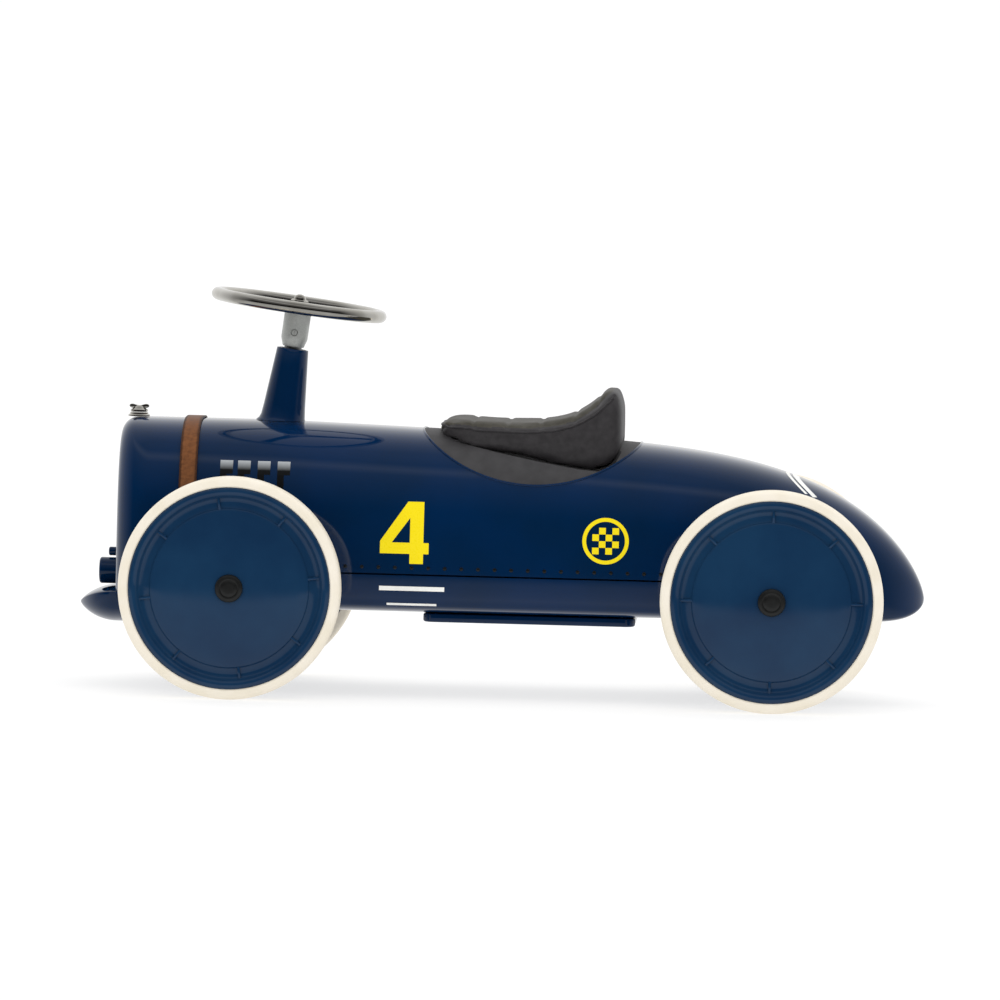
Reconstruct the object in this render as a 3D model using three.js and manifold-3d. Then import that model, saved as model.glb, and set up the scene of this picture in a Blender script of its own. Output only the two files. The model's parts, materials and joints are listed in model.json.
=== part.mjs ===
// Child's foot-to-floor racing car: pressed steel body, steered front axle, four disc wheels.
// Millimetres. +Z is up, the car faces -X, its left side is -Y, and it stands on Z = 0
// with the origin under the middle of its overall length.

import * as THREE from 'three';
import { mergeVertices } from 'three/addons/utils/BufferGeometryUtils.js';
import { ParametricGeometry } from 'three/addons/geometries/ParametricGeometry.js';
import Module from 'manifold-3d';

const wasm = await Module();
wasm.setup();

// ---- driving dimensions -------------------------------------------------------------------

const GAP = 0.3;                 // what is left between two pieces that touch
const SHEET = 1.0;               // body steel

const NOSE_X = -356;             // flat front of the body
const TAIL_X = 388;              // end of the boat tail
const BODY_BASE = 76;
const BODY_DECK = 244.5;         // top of the bonnet
const BODY_HALF = 98;            // half of the body's width at the cockpit
const SEAM_Z = 112;              // line where the upper shell meets the lower one
const TRAY_FRONT = -318;
const TRAY_REAR = 286;

const WHEEL_R = 100;
const FRONT_AXLE_X = -241;
const REAR_AXLE_X = 245;
const AXLE_Z = WHEEL_R;
const WHEEL_Y = 156.5;           // middle plane of each wheel
const AXLE_R = 4.5;
const AXLE_END = WHEEL_Y + 13.7;
const WHEEL_SIDES = 24;

const COLUMN_FOOT = [-224, 0, 105];
const COLUMN_RAKE = THREE.MathUtils.degToRad(7);
const COLUMN_R = 8;
const RIM_HEIGHT = 246.8;        // steering wheel's plane, measured along the column
const RIM_R = 75;
const RIM_TUBE = 5.5;

const COCKPIT_X = 27;            // the cockpit is cut by one big cylinder lying across the car
const COCKPIT_Z = 336;
const COCKPIT_R = 141;
const SEAT_HALF = 66;

const GLOSS_NAVY = { color: '#0b2b52', roughness: 0.2, metalness: 0.0 };
const NAVY_PLASTIC = { color: '#15375c', roughness: 0.22, metalness: 0.0 };
const CHROME = { color: '#d9dadb', roughness: 0.12, metalness: 1.0 };
const BARE_STEEL = { color: '#8c8f92', roughness: 0.45, metalness: 1.0 };
const CREAM_RUBBER = { color: '#efe4cf', roughness: 0.75, metalness: 0.0 };
const BLACK_PLASTIC = { color: '#1d1e1f', roughness: 0.5, metalness: 0.0 };
const GREY_PLASTIC = { color: '#3f4043', roughness: 0.6, metalness: 0.0 };
const BROWN_LEATHER = { color: '#7a4c28', roughness: 0.6, metalness: 0.0 };
const BLACK_LEATHER = { color: '#232220', roughness: 0.55, metalness: 0.0 };
const NYLON = { color: '#e4e1d8', roughness: 0.5, metalness: 0.0 };

// ---- making solids --------------------------------------------------------------------------

// Welds a geometry's vertices, drops the flat triangles at its poles and turns it outwards.
function solid(geometry) {
  const bare = geometry.clone();
  bare.deleteAttribute('normal');
  bare.deleteAttribute('uv');
  const welded = mergeVertices(bare, 1e-3);
  const at = welded.getAttribute('position');
  const index = welded.getIndex().array;
  const corner = [new THREE.Vector3(), new THREE.Vector3(), new THREE.Vector3()];
  const triangles = [];
  let volume = 0;
  for (let i = 0; i < index.length; i += 3) {
    const [a, b, c] = [index[i], index[i + 1], index[i + 2]];
    if (a === b || b === c || c === a) continue;
    triangles.push([a, b, c]);
    [a, b, c].forEach((vertex, k) => corner[k].fromBufferAttribute(at, vertex));
    volume += corner[0].dot(corner[1].cross(corner[2]));
  }
  const ordered = triangles.flatMap(([a, b, c]) => (volume > 0 ? [a, b, c] : [a, c, b]));
  return new wasm.Manifold(new wasm.Mesh({
    numProp: 3,
    vertProperties: new Float32Array(at.array),
    triVerts: new Uint32Array(ordered),
  }));
}

function toGeometry(manifold) {
  const mesh = manifold.getMesh();
  const geometry = new THREE.BufferGeometry();
  geometry.setAttribute('position', new THREE.BufferAttribute(new Float32Array(mesh.vertProperties), 3));
  geometry.setIndex(new THREE.BufferAttribute(new Uint32Array(mesh.triVerts), 1));
  geometry.computeVertexNormals();
  return geometry;
}

// A block between two opposite corners.
function block([x0, y0, z0], [x1, y1, z1]) {
  const geometry = new THREE.BoxGeometry(x1 - x0, y1 - y0, z1 - z0);
  return solid(geometry.translate((x0 + x1) / 2, (y0 + y1) / 2, (z0 + z1) / 2));
}

// A solid of revolution from [radius, height] points; its axis is Y, X or Z.
function turned(profile, axis = 'z', sides = 16, start = 0) {
  const points = profile.map(([radius, height]) => new THREE.Vector2(radius, height));
  if (profile[0][0] > 0) points.push(points[0].clone());
  const geometry = new THREE.LatheGeometry(points, sides, start);
  if (axis === 'z') geometry.rotateX(Math.PI / 2);
  if (axis === 'x') geometry.rotateZ(-Math.PI / 2);
  return solid(geometry);
}

function rod(radius, low, high, axis = 'z', sides = 16) {
  return turned([[0, low], [radius, low], [radius, high], [0, high]], axis, sides);
}

function ring(inner, outer, low, high, axis = 'z', sides = 16) {
  return turned([[inner, low], [outer, low], [outer, high], [inner, high]], axis, sides);
}

// A side outline of [x, z] points, given a thickness along Y between two planes.
function sideProfile(outline, y0, y1) {
  const shape = new THREE.Shape(outline.map(([x, z]) => new THREE.Vector2(x, z)));
  const geometry = new THREE.ExtrudeGeometry(shape, { depth: y1 - y0, bevelEnabled: false, curveSegments: 6 });
  return solid(geometry.rotateX(Math.PI / 2).translate(0, y1, 0));
}

const car = new THREE.Group();
const column = new THREE.Group();
column.position.set(...COLUMN_FOOT);
column.rotation.y = COLUMN_RAKE;
car.add(column);
column.updateMatrix();

function add(name, manifold, look, parent = car) {
  const mesh = new THREE.Mesh(toGeometry(manifold), new THREE.MeshStandardMaterial(look));
  mesh.name = name;
  parent.add(mesh);
}

// A solid made in the raked column's own frame, seen from the car's frame.
function fromColumn(manifold) {
  return solid(toGeometry(manifold).applyMatrix4(column.matrix));
}

// A solid made in the car's frame, seen from the raked column's own frame.
function intoColumn(manifold) {
  return solid(toGeometry(manifold).applyMatrix4(column.matrix.clone().invert()));
}

// A sine or cosine that should be nought is made exactly nought, so that seams close.
function snapped(value) {
  return Math.abs(value) < 1e-9 ? 0 : value;
}

// ---- the body's envelope --------------------------------------------------------------------

const NOSE_CORNER = 28;          // plan radius of the front corners
const NOSE_BROW = 13;            // radius where the front meets the bonnet
const NOSE_CHIN = 8;
const DECK_FALL_X = -211;        // the deck falls behind this point
const DECK_FALL = 17.4;
const TAIL_TIP_Z = 96.5;
const TAIL_TAPER_X = 100;        // the plan narrows behind this point
const BELT_SHARE = 0.24;         // widest line, as a share of the section's height
const TOP_POWER = 3;
const BASE_POWER = 6;

// How far a rounded corner of this radius still lies inside, at a distance behind the face.
function cornerInset(radius, behind) {
  const left = Math.max(radius - behind, 0);
  return radius - Math.sqrt(radius * radius - left * left);
}

function deckHeight(x) {
  const u = Math.max(x - DECK_FALL_X, 0) / (TAIL_X - DECK_FALL_X);
  const crown = BODY_DECK - TAIL_TIP_Z - DECK_FALL * u;
  return TAIL_TIP_Z + crown * (1 - u ** 6.46) ** 0.864 - cornerInset(NOSE_BROW, x - NOSE_X);
}

function baseHeight(x) {
  const u = Math.max(x - 330, 0) / (TAIL_X - 330);
  return TAIL_TIP_Z - (TAIL_TIP_Z - BODY_BASE) * (1 - u ** 3) ** 0.6 + cornerInset(NOSE_CHIN, x - NOSE_X);
}

function halfWidth(x) {
  const forward = Math.max(-43 - x, 0) / 313;
  const u = Math.max(x - TAIL_TAPER_X, 0) / (TAIL_X - TAIL_TAPER_X);
  return (BODY_HALF - 10 * forward ** 2) * (1 - u ** 2.4) ** 0.588 - cornerInset(NOSE_CORNER, x - NOSE_X);
}

// Stations along the body, close together where it curves. The first is the middle of the front.
const STATIONS = [NOSE_X, NOSE_X, -354.5, -350, -343, -328];
for (let x = -290; x <= 170; x += 57.5) STATIONS.push(x);
for (let k = 1; k <= 8; k += 1) STATIONS.push(170 + (TAIL_X - 170) * Math.sin((k / 8) * (Math.PI / 2)));

// The whole body as one closed form, grown by an offset or shrunk by a negative one.
function envelope(offset) {
  const last = STATIONS.length - 1;
  const place = (u, v, target) => {
    const step = Math.round(u * last);
    const x = STATIONS[step];
    const angle = v * 2 * Math.PI;
    const [c, s] = [snapped(Math.cos(angle)), snapped(Math.sin(angle))];
    const top = deckHeight(x) + offset;
    const base = baseHeight(x) - offset;
    const belt = base + BELT_SHARE * (top - base);
    const power = s > 0 ? TOP_POWER : BASE_POWER;
    const wide = step === 0 || step === last ? 0 : halfWidth(x) + offset;
    const high = step === 0 || step === last ? 0 : (s > 0 ? top - belt : belt - base);
    const stretch = (TAIL_X - NOSE_X + 2 * offset) / (TAIL_X - NOSE_X);
    target.set(
      NOSE_X - offset + (x - NOSE_X) * stretch,
      wide * Math.sign(c) * Math.abs(c) ** (2 / power),
      belt + high * Math.sign(s) * Math.abs(s) ** (2 / power),
    );
  };
  return solid(new ParametricGeometry(place, last, 28));
}

const outside = envelope(0);
const bodySkin = outside.subtract(envelope(-SHEET));
const clearOfBody = envelope(GAP);

// ---- body shells ------------------------------------------------------------------------------

const AXLE_SLOT_HALF = 34;       // room for the front axle to swing
const STRAP_X = [-297, -281];
const STUD_X = (STRAP_X[0] + STRAP_X[1]) / 2;
const STUD_Z = 124;
const STUD_SHANK_R = 2;

// The big cylinder across the cockpit, grown or shrunk.
function acrossCockpit(grow) {
  return rod(COCKPIT_R + grow, -150, 150, 'y', 56).translate([COCKPIT_X, 0, COCKPIT_Z]);
}

const axleSlot = block([FRONT_AXLE_X - AXLE_SLOT_HALF, -150, 84], [FRONT_AXLE_X + AXLE_SLOT_HALF, 150, 118]);
const columnWay = fromColumn(rod(14, 100, 160));
const cockpitCut = acrossCockpit(0);
const studWay = rod(STUD_SHANK_R + GAP, -150, 150, 'y', 12).translate([STUD_X, 0, STUD_Z]);
const rearAxleWay = rod(AXLE_R + 0.8, -150, 150, 'y').translate([REAR_AXLE_X, 0, AXLE_Z]);

const GRILLE = { half: 42, low: 130, high: 208, pitch: 9 };

function buildUpperShell() {
  const tray = block([TRAY_FRONT - 1, -150, 0], [TRAY_REAR + 1, 150, SEAM_Z + 0.7]);
  const radiatorOpening = block([NOSE_X - 5, -GRILLE.half, GRILLE.low], [NOSE_X + 5, GRILLE.half, GRILLE.high]);
  return [tray, cockpitCut, columnWay, radiatorOpening, axleSlot, studWay]
    .reduce((shell, cutter) => shell.subtract(cutter), bodySkin);
}

function buildLowerShell() {
  const trough = block([TRAY_FRONT, -150, 0], [TRAY_REAR, 150, SEAM_Z - 0.7]);
  return bodySkin.intersect(trough).subtract(axleSlot).subtract(rearAxleWay);
}

const PAN = { front: -71, rear: 121, half: 72, low: 68, high: BODY_BASE - GAP, wall: 1.5 };

// Shallow pan pressed from sheet, open towards the floor of the body above it.
function buildBellyPan() {
  const { front, rear, low, high, half, wall } = PAN;
  const outline = (inset, top) => [[front + inset, low + 4.5], [front + 3 + inset, low + inset],
    [rear - 3 - inset, low + inset], [rear - inset, low + 4.5], [rear - inset, top], [front + inset, top]];
  const hollow = sideProfile(outline(wall, high + 1), wall - half, half - wall);
  return sideProfile(outline(0, high), -half, half).subtract(hollow);
}

// A flat pressed plate with upright slots, held behind the opening in the nose.
function buildGrille() {
  const [half, low, high] = [GRILLE.half + 3, GRILLE.low - 3, GRILLE.high + 3];
  const [front, back] = [NOSE_X + SHEET + GAP, NOSE_X + SHEET + GAP + 1.2];
  let plate = block([front, -half, low], [back, half, high]);
  for (let k = -4; k <= 4; k += 1) {
    const y = k * GRILLE.pitch;
    plate = plate.subtract(block([front - 1, y - 3, low + 10], [back + 1, y + 3, high - 10]));
  }
  return plate;
}

add('upper_body_shell', buildUpperShell(), GLOSS_NAVY);
add('lower_body_shell', buildLowerShell(), GLOSS_NAVY);
add('belly_pan', buildBellyPan(), GLOSS_NAVY);
add('radiator_grille', buildGrille(), CHROME);

// ---- nose fittings ----------------------------------------------------------------------------

const CAP_X = -338;
const CRANK_Z = 103;

const CAP_SEAT = BODY_DECK + 4;   // top of the cap's base ring

function buildRadiatorCap() {
  const dome = turned([[0, 0.4], [8, 0.4], [8, 2.5], [5, 5.5], [0, 6]], 'z', 20);
  return dome.add(block([-9, -2.5, 3], [9, 2.5, 7.5])).translate([CAP_X, 0, CAP_SEAT]);
}

const APRON = {
  tip: -TAIL_X, tipZ: 74, nose: 34, back: -322, half: 50, lift: 12, crown: 4, depth: 29, wall: 1.5,
};

// A bullet lying under the nose, rounded below and nearly flat on top, shrunk by an inset.
function bullet(inset, back) {
  const steps = 9;
  const place = (u, v, target) => {
    const step = Math.round(u * steps);
    const behind = APRON.nose * (Math.min(step, steps - 2) / (steps - 2)) ** 1.6;
    const swell = step === steps ? 0 : (1 - (1 - behind / APRON.nose) ** 2) ** 0.75;
    const angle = v * 2 * Math.PI;
    const [c, s] = [snapped(Math.cos(angle)), snapped(Math.sin(angle))];
    const x = step >= steps - 1 ? back : APRON.tip + inset + behind;
    const rise = s * ((s > 0 ? APRON.crown : APRON.depth) - inset);
    target.set(x, (APRON.half - inset) * c * swell, APRON.tipZ + swell * (APRON.lift + rise));
  };
  return solid(new ParametricGeometry(place, steps, 16));
}

// The apron is pressed from sheet, open at its back and where it meets the body.
function buildApron() {
  return bullet(0, APRON.back).subtract(bullet(APRON.wall, APRON.back + 10)).subtract(clearOfBody);
}

add('radiator_cap_base', rod(10, BODY_DECK + GAP, CAP_SEAT, 'z', 20).translate([CAP_X, 0, 0]), CHROME);
add('radiator_cap', buildRadiatorCap(), CHROME);
add('crank_boss', rod(12, -371, NOSE_X - GAP, 'x').translate([0, 0, CRANK_Z]), GLOSS_NAVY);
add('crank_pin', rod(4, -363, NOSE_X - GAP, 'x', 16).translate([0, 0, CRANK_Z + 17.5]), GLOSS_NAVY);
add('front_apron', buildApron(), GLOSS_NAVY);

// ---- bonnet strap -----------------------------------------------------------------------------

function buildStrap() {
  const reach = block([STRAP_X[0], -150, STUD_Z - 8], [STRAP_X[1], 150, 270]);
  return envelope(2).subtract(envelope(0.35)).intersect(reach).subtract(studWay);
}

add('bonnet_strap', buildStrap(), BROWN_LEATHER);
for (const [side, sign] of [['left', -1], ['right', 1]]) {
  const face = halfWidth(STUD_X) + 2.4;
  const stud = turned([[0, face - 6], [STUD_SHANK_R, face - 6], [STUD_SHANK_R, face], [5, face],
    [5, face + 1], [3, face + 2.4], [0, face + 2.6]], 'y', 12);
  const placed = (sign > 0 ? stud : stud.rotate([180, 0, 0])).translate([STUD_X, 0, STUD_Z]);
  add(`strap_stud_${side}`, placed, CHROME);
}

// ---- seat -------------------------------------------------------------------------------------

// Underside of the cushion from its front lip, dropping rearward, then up its back.
const SEAT_UNDER = [[-62, 243], [-48, 234], [-7, 225], [30, 218], [67, 212], [84, 210], [94, 213], [104, 224]];
const SEAT_OVER = [[106, 247], [105, 278], [97, 286], [74, 270], [58, 261], [29, 256], [-42, 257], [-58, 253]];
const BOARD_X = [-30, 66];
const BOARD_HALF = 50;
const SEAT_BOLTS = { front: -12, rear: 50 };

function seatUnderAt(x) {
  const k = SEAT_UNDER.findIndex(([px]) => px >= x);
  const [[x0, z0], [x1, z1]] = [SEAT_UNDER[k - 1], SEAT_UNDER[k]];
  return z0 + ((z1 - z0) * (x - x0)) / (x1 - x0);
}

// A layer that follows the cushion's underside, between two depths below it.
function layerUnderSeat([x0, x1], upper, lower, half) {
  const line = [x0, -7, 30, x1].map((x) => [x, seatUnderAt(x)]);
  const outline = [...line.map(([x, z]) => [x, z - lower]), ...line.reverse().map(([x, z]) => [x, z - upper])];
  return sideProfile(outline, -half, half);
}

// Everything above the cushion's underside and in front of its back, grown downwards and rearwards.
function spaceForSeat(grow) {
  const under = SEAT_UNDER.map(([x, z]) => [x + (x > 90 ? grow : 0) - (x < -50 ? grow : 0), z - grow]);
  return sideProfile([...under, [106 + grow, 247], [106 + grow, 330], [-62 - grow, 330]], -150, 150);
}

const boltWays = Object.values(SEAT_BOLTS)
  .map((x) => rod(3.3, 195, 235, 'z', 12).translate([x, 0, 0]))
  .reduce((all, way) => all.add(way));

// Moulded liner: flush with the body inside the cockpit's cut, with a lip tucked under the sheet.
function buildLiner() {
  const lip = envelope(-SHEET - 0.4).intersect(acrossCockpit(9));
  const hollow = envelope(-SHEET - 2.4).subtract(spaceForSeat(6.6));
  const pocket = layerUnderSeat([BOARD_X[0] - 0.5, BOARD_X[1] + 0.5], 0, 3.9, BOARD_HALF + 0.5);
  return outside.intersect(acrossCockpit(-0.4)).add(lip).subtract(spaceForSeat(0.6)).subtract(hollow)
    .subtract(pocket).subtract(boltWays);
}

function buildCushion() {
  const plan = new THREE.Shape();
  plan.moveTo(110, -SEAT_HALF);
  plan.lineTo(-30, -SEAT_HALF + 6);
  plan.bezierCurveTo(-52, -SEAT_HALF + 8, -64, -44, -64, 0);
  plan.bezierCurveTo(-64, 44, -52, SEAT_HALF - 8, -30, SEAT_HALF - 6);
  plan.lineTo(110, SEAT_HALF);
  const prism = new THREE.ExtrudeGeometry(plan, { depth: 120, bevelEnabled: false, curveSegments: 5 });
  const side = sideProfile([...SEAT_UNDER, ...SEAT_OVER], -SEAT_HALF - 1, SEAT_HALF + 1);
  return side.intersect(solid(prism.translate(0, 0, 195)));
}

// Hexagon-headed bolt pushed up through the liner into the seat board.
function buildSeatBolt(x) {
  const face = seatUnderAt(x) - 8.2;
  const shank = rod(3, face - 1, face + 6, 'z', 12);
  return shank.add(rod(6, face - 4, face, 'z', 6)).translate([x, 0, 0]);
}

add('cockpit_liner', buildLiner(), GREY_PLASTIC);
add('seat_board', layerUnderSeat(BOARD_X, 0.4, 3.4, BOARD_HALF).subtract(boltWays), BLACK_PLASTIC);
add('seat_cushion', buildCushion(), BLACK_LEATHER);
for (const [place, x] of Object.entries(SEAT_BOLTS)) add(`seat_bolt_${place}`, buildSeatBolt(x), BARE_STEEL);

// ---- steering support -------------------------------------------------------------------------

const SUPPORT_Z = 152;

// Pressed crossmember under the bonnet, with a turned-down flange at each end.
function buildCrossmember() {
  const [front, rear, half] = [-238, -198, 91.2];
  const plate = block([front, -half, SUPPORT_Z], [rear, half, SUPPORT_Z + 2.5]);
  const flanges = [-1, 1].map((side) => block(
    [front, Math.min(side * half, side * (half - 2.5)), SUPPORT_Z - 22],
    [rear, Math.max(side * half, side * (half - 2.5)), SUPPORT_Z + 1],
  ));
  return plate.add(flanges[0]).add(flanges[1]).subtract(fromColumn(rod(13, 20, 80)));
}

// Hollow cone on the bonnet; its mouth holds the upper bush.
function buildPedestal() {
  const cone = turned([[13.5, 206.5], [16, 206.5], [21, 143], [25, 139], [25, 130], [18, 130], [14, 186],
    [13.5, 187]], 'z', 20);
  return cone.subtract(intoColumn(clearOfBody));
}

add('front_crossmember', buildCrossmember(), BARE_STEEL);
add('steering_pedestal', buildPedestal(), GLOSS_NAVY, column);
add('upper_column_bush', ring(COLUMN_R + GAP, 13.2, 188, 202), NYLON, column);
add('lower_column_bush', turned([[COLUMN_R + GAP, 43], [12.7, 43], [12.7, 53], [17, 53], [17, 55],
  [COLUMN_R + GAP, 55]]), NYLON, column);

// ---- steering, all turning about the raked column ----------------------------------------------

const HUB = { low: 234, high: 248.5, radius: 14 };
const SPOKES = 3;

function buildSpider() {
  const hub = ring(4.4, HUB.radius, HUB.low, HUB.high);
  const spoke = block([10, -8, RIM_HEIGHT - 3], [RIM_R - RIM_TUBE - 1, 8, RIM_HEIGHT]);
  let spider = hub;
  for (let k = 0; k < SPOKES; k += 1) spider = spider.add(spoke.rotate([0, 0, (k * 360) / SPOKES]));
  return spider;
}

// Ferrule over the top of the column, with the stud that carries the steering wheel.
function buildSleeve() {
  const screwWay = rod(2.9, -20, -8, 'y', 16).translate([0, 0, 221.5]);
  return turned([[0, 228.3], [COLUMN_R + GAP, 228.3], [COLUMN_R + GAP, 208.5], [9.7, 208.5], [12, 215.6],
    [12, 233.7], [4, 233.7], [4, 255], [0, 255]]).subtract(screwWay);
}

function buildYoke() {
  const casting = block([-255, -28, 91], [-210, 28, 110]);
  const axleWay = rod(AXLE_R + GAP, -40, 40, 'y').translate([FRONT_AXLE_X, 0, AXLE_Z]);
  return casting.subtract(axleWay).subtract(fromColumn(rod(COLUMN_R + GAP, -25, 30)));
}

const rimGeometry = new THREE.TorusGeometry(RIM_R, RIM_TUBE, 6, 30).translate(0, 0, RIM_HEIGHT);
add('steering_wheel_rim', solid(rimGeometry), CHROME, column);
add('steering_wheel_spider', buildSpider(), CHROME, column);
add('steering_wheel_nut', turned([[0, 255.4], [4.3, 255.4], [4.3, 248.9], [8, 248.9], [8, 253.5], [5, 258],
  [0, 259]], 'z', 12), CHROME, column);
add('hub_sleeve', buildSleeve(), { ...CHROME, color: '#a7aaa8', roughness: 0.4 }, column);
add('sleeve_screw', rod(2.6, -12.6, -8.7, 'y', 16).translate([0, 0, 221.5]), CHROME, column);
add('steering_column', rod(COLUMN_R, -12, 228), BARE_STEEL, column);
add('column_collar', ring(COLUMN_R + GAP, 13, 55.5, 62), BARE_STEEL, column);
add('front_yoke', buildYoke(), BARE_STEEL);

// ---- axles and their fittings -------------------------------------------------------------------

const COLLAR = { outer: WHEEL_Y - 15.4, width: 4 };
const HUB_CAP = [[0, 14], [AXLE_R + GAP, 14], [AXLE_R + GAP, 11], [12, 11], [12, 12.6], [10.3, 15], [6, 16],
  [0, 16]];

// Wheel pieces are turned about Y, facing +Y; those on the left are turned to face -Y.
function facing(manifold, sign) {
  return sign > 0 ? manifold : manifold.rotate([0, 0, 180]);
}

const sides = [['left', -1], ['right', 1]];
for (const [end, x] of [['front', FRONT_AXLE_X], ['rear', REAR_AXLE_X]]) {
  const axle = rod(AXLE_R, -AXLE_END, AXLE_END, 'y').translate([x, 0, AXLE_Z]);
  add(`${end}_axle`, axle, BARE_STEEL);
  for (const [side, sign] of sides) {
    const collar = ring(AXLE_R + GAP, 8.5, COLLAR.outer - COLLAR.width, COLLAR.outer, 'y');
    add(`axle_collar_${end}_${side}`, facing(collar, sign).translate([x, 0, AXLE_Z]), BARE_STEEL);
    const cap = facing(turned(HUB_CAP, 'y', 16), sign).translate([x, sign * WHEEL_Y, AXLE_Z]);
    add(`hub_cap_${end}_${side}`, cap, BLACK_PLASTIC);
  }
}

const BRACKET = { front: 227, rear: 263, foot: 30, inner: 47, outer: 50, top: 118 };

// Upright plate on a foot on the floor of the body, with the rear axle through it.
function buildRearBracket() {
  const { front, rear, foot, inner, outer, top } = BRACKET;
  const floor = BODY_BASE + SHEET + 2 * GAP;
  return block([front, inner, floor], [rear, outer, top])
    .add(block([front, foot, floor], [rear, outer - 1, floor + 3]))
    .subtract(rod(AXLE_R + GAP, -80, 80, 'y').translate([REAR_AXLE_X, 0, AXLE_Z]));
}

for (const [side, sign] of sides) {
  const bracket = buildRearBracket();
  add(`rear_axle_bracket_${side}`, sign > 0 ? bracket : bracket.mirror([0, 1, 0]), BARE_STEEL);
}

// ---- wheels -------------------------------------------------------------------------------------

const TREAD_R = WHEEL_R / Math.cos(Math.PI / WHEEL_SIDES);   // the flats stand on the ground
const TYRE = [[86.5, 10.5], [91.4, 10.5], [92.6, 13.6], [97.5, 13.2], [TREAD_R, 8], [TREAD_R, -8],
  [97.5, -13.2], [92.6, -13.6], [91.4, -10.5], [86.5, -10.5]];
const FACE_DISC = [[9.2, 8.6], [9.2, 10.6], [45, 10.6], [70, 9], [72.5, 5], [79.5, 5], [82.5, 13.4], [91, 13.4],
  [91, 10.9], [84.6, 10.9], [81, 3], [70.5, 3], [68.5, 7]];
const BACK_DISC = [[9.2, -13], [9.2, -10.9], [83.8, -10.9], [83.8, 8.5], [86.2, 10.5], [86.2, -10.9],
  [91, -10.9], [91, -13]];

for (const [end, x] of [['front', FRONT_AXLE_X], ['rear', REAR_AXLE_X]]) {
  for (const [side, sign] of sides) {
    const half = Math.PI / WHEEL_SIDES;
    const place = (manifold) => facing(manifold, sign).translate([x, sign * WHEEL_Y, AXLE_Z]);
    add(`tyre_${end}_${side}`, place(turned(TYRE, 'y', WHEEL_SIDES, half)), CREAM_RUBBER);
    add(`wheel_disc_${end}_${side}`, place(turned(FACE_DISC, 'y', WHEEL_SIDES, half)), NAVY_PLASTIC);
    add(`wheel_back_${end}_${side}`, place(turned(BACK_DISC, 'y', WHEEL_SIDES, half)), NAVY_PLASTIC);
    add(`wheel_bush_${end}_${side}`, place(ring(AXLE_R + GAP, 8.9, -15, 10.5, 'y', 16)), NYLON);
  }
}

export default car;
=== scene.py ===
"""Child's foot-to-floor racing car: stoved enamel body, padded seat, chromed steering wheel, disc wheels.

The car faces -X, its left side is -Y, and it stands on Z = 0. Sizes are millimetres, turned to
metres by MM where Blender is given them.
"""

import json
import math

import bmesh
import bpy
from mathutils import Matrix, Vector


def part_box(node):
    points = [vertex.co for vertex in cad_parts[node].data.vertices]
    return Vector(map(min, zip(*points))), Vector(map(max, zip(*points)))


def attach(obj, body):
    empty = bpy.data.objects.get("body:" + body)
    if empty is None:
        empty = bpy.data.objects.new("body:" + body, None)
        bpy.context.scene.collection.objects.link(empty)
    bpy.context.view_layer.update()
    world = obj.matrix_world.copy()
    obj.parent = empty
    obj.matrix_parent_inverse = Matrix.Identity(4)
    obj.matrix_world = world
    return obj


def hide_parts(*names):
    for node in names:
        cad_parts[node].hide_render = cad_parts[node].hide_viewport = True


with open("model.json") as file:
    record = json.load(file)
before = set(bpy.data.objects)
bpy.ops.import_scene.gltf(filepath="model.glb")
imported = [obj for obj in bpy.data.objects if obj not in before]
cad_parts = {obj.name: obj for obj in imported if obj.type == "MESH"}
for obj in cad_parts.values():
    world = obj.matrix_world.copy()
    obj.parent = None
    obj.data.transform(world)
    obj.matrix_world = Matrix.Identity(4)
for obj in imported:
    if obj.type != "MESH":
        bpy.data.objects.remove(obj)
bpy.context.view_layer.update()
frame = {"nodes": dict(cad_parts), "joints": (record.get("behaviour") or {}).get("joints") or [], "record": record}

MM = 0.001
SIDES = {"left": -1, "right": 1}
ENDS = ("front", "rear")


# ---- driving sizes, taken from the frame where it has them --------

def span(node):
    """A CAD node's lowest and highest corners, in millimetres."""
    low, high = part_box(node)
    return low / MM, high / MM


NOSE_TRIM, TAIL_TRIM = 4.5, 5.5    # the pressed body is this much shorter than its plain solid
NOSE_X = span("upper_body_shell")[0].x + NOSE_TRIM
TAIL_X = span("upper_body_shell")[1].x - TAIL_TRIM
BODY_HALF = span("upper_body_shell")[1].y
BODY_BASE = span("lower_body_shell")[0].z
BODY_DECK = span("upper_body_shell")[1].z
SEAM_LOW = span("lower_body_shell")[1].z
SEAM_HIGH = SEAM_LOW + 1.4
TRAY_FRONT, TRAY_REAR = span("lower_body_shell")[0].x, span("lower_body_shell")[1].x
SHEET = 1.0

AXLE_X = {end: sum(v.x for v in span(f"{end}_axle")) / 2 for end in ENDS}
AXLE_Z = sum(v.z for v in span("front_axle")) / 2
AXLE_R = 4.5
WHEEL_Y = sum(v.y for v in span("tyre_rear_right")) / 2

COLUMN = next(j for j in frame["joints"] if j["name"] == "steering_turn")
COLUMN_FOOT = Vector(COLUMN["pos_m"]) / MM
RAKE = math.atan2(COLUMN["axis"][0], COLUMN["axis"][2])
RAKED = Matrix.Translation(COLUMN_FOOT * MM) @ Matrix.Rotation(RAKE, 4, "Y")
RIM_HEIGHT = 246.8                # along the column, from its foot
RIM_R = 74.4
RIM_TUBE = 6.2

COCKPIT_X, COCKPIT_Z, COCKPIT_R = 27, 336, 141
WIDE = 150                        # half of a cutting tool that has to pass right through the car
STRAP_X = [corner.x + 3 for corner in span("bonnet_strap")]
CAP_X = sum(v.x for v in span("radiator_cap_base")) / 2


# ---- working by hand: small helpers around the operators --------

def clear():
    if bpy.context.mode != "OBJECT":
        bpy.ops.object.mode_set(mode="OBJECT")
    bpy.ops.object.select_all(action="DESELECT")


def hold(obj):
    clear()
    obj.select_set(True)
    bpy.context.view_layer.objects.active = obj
    return obj


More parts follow.
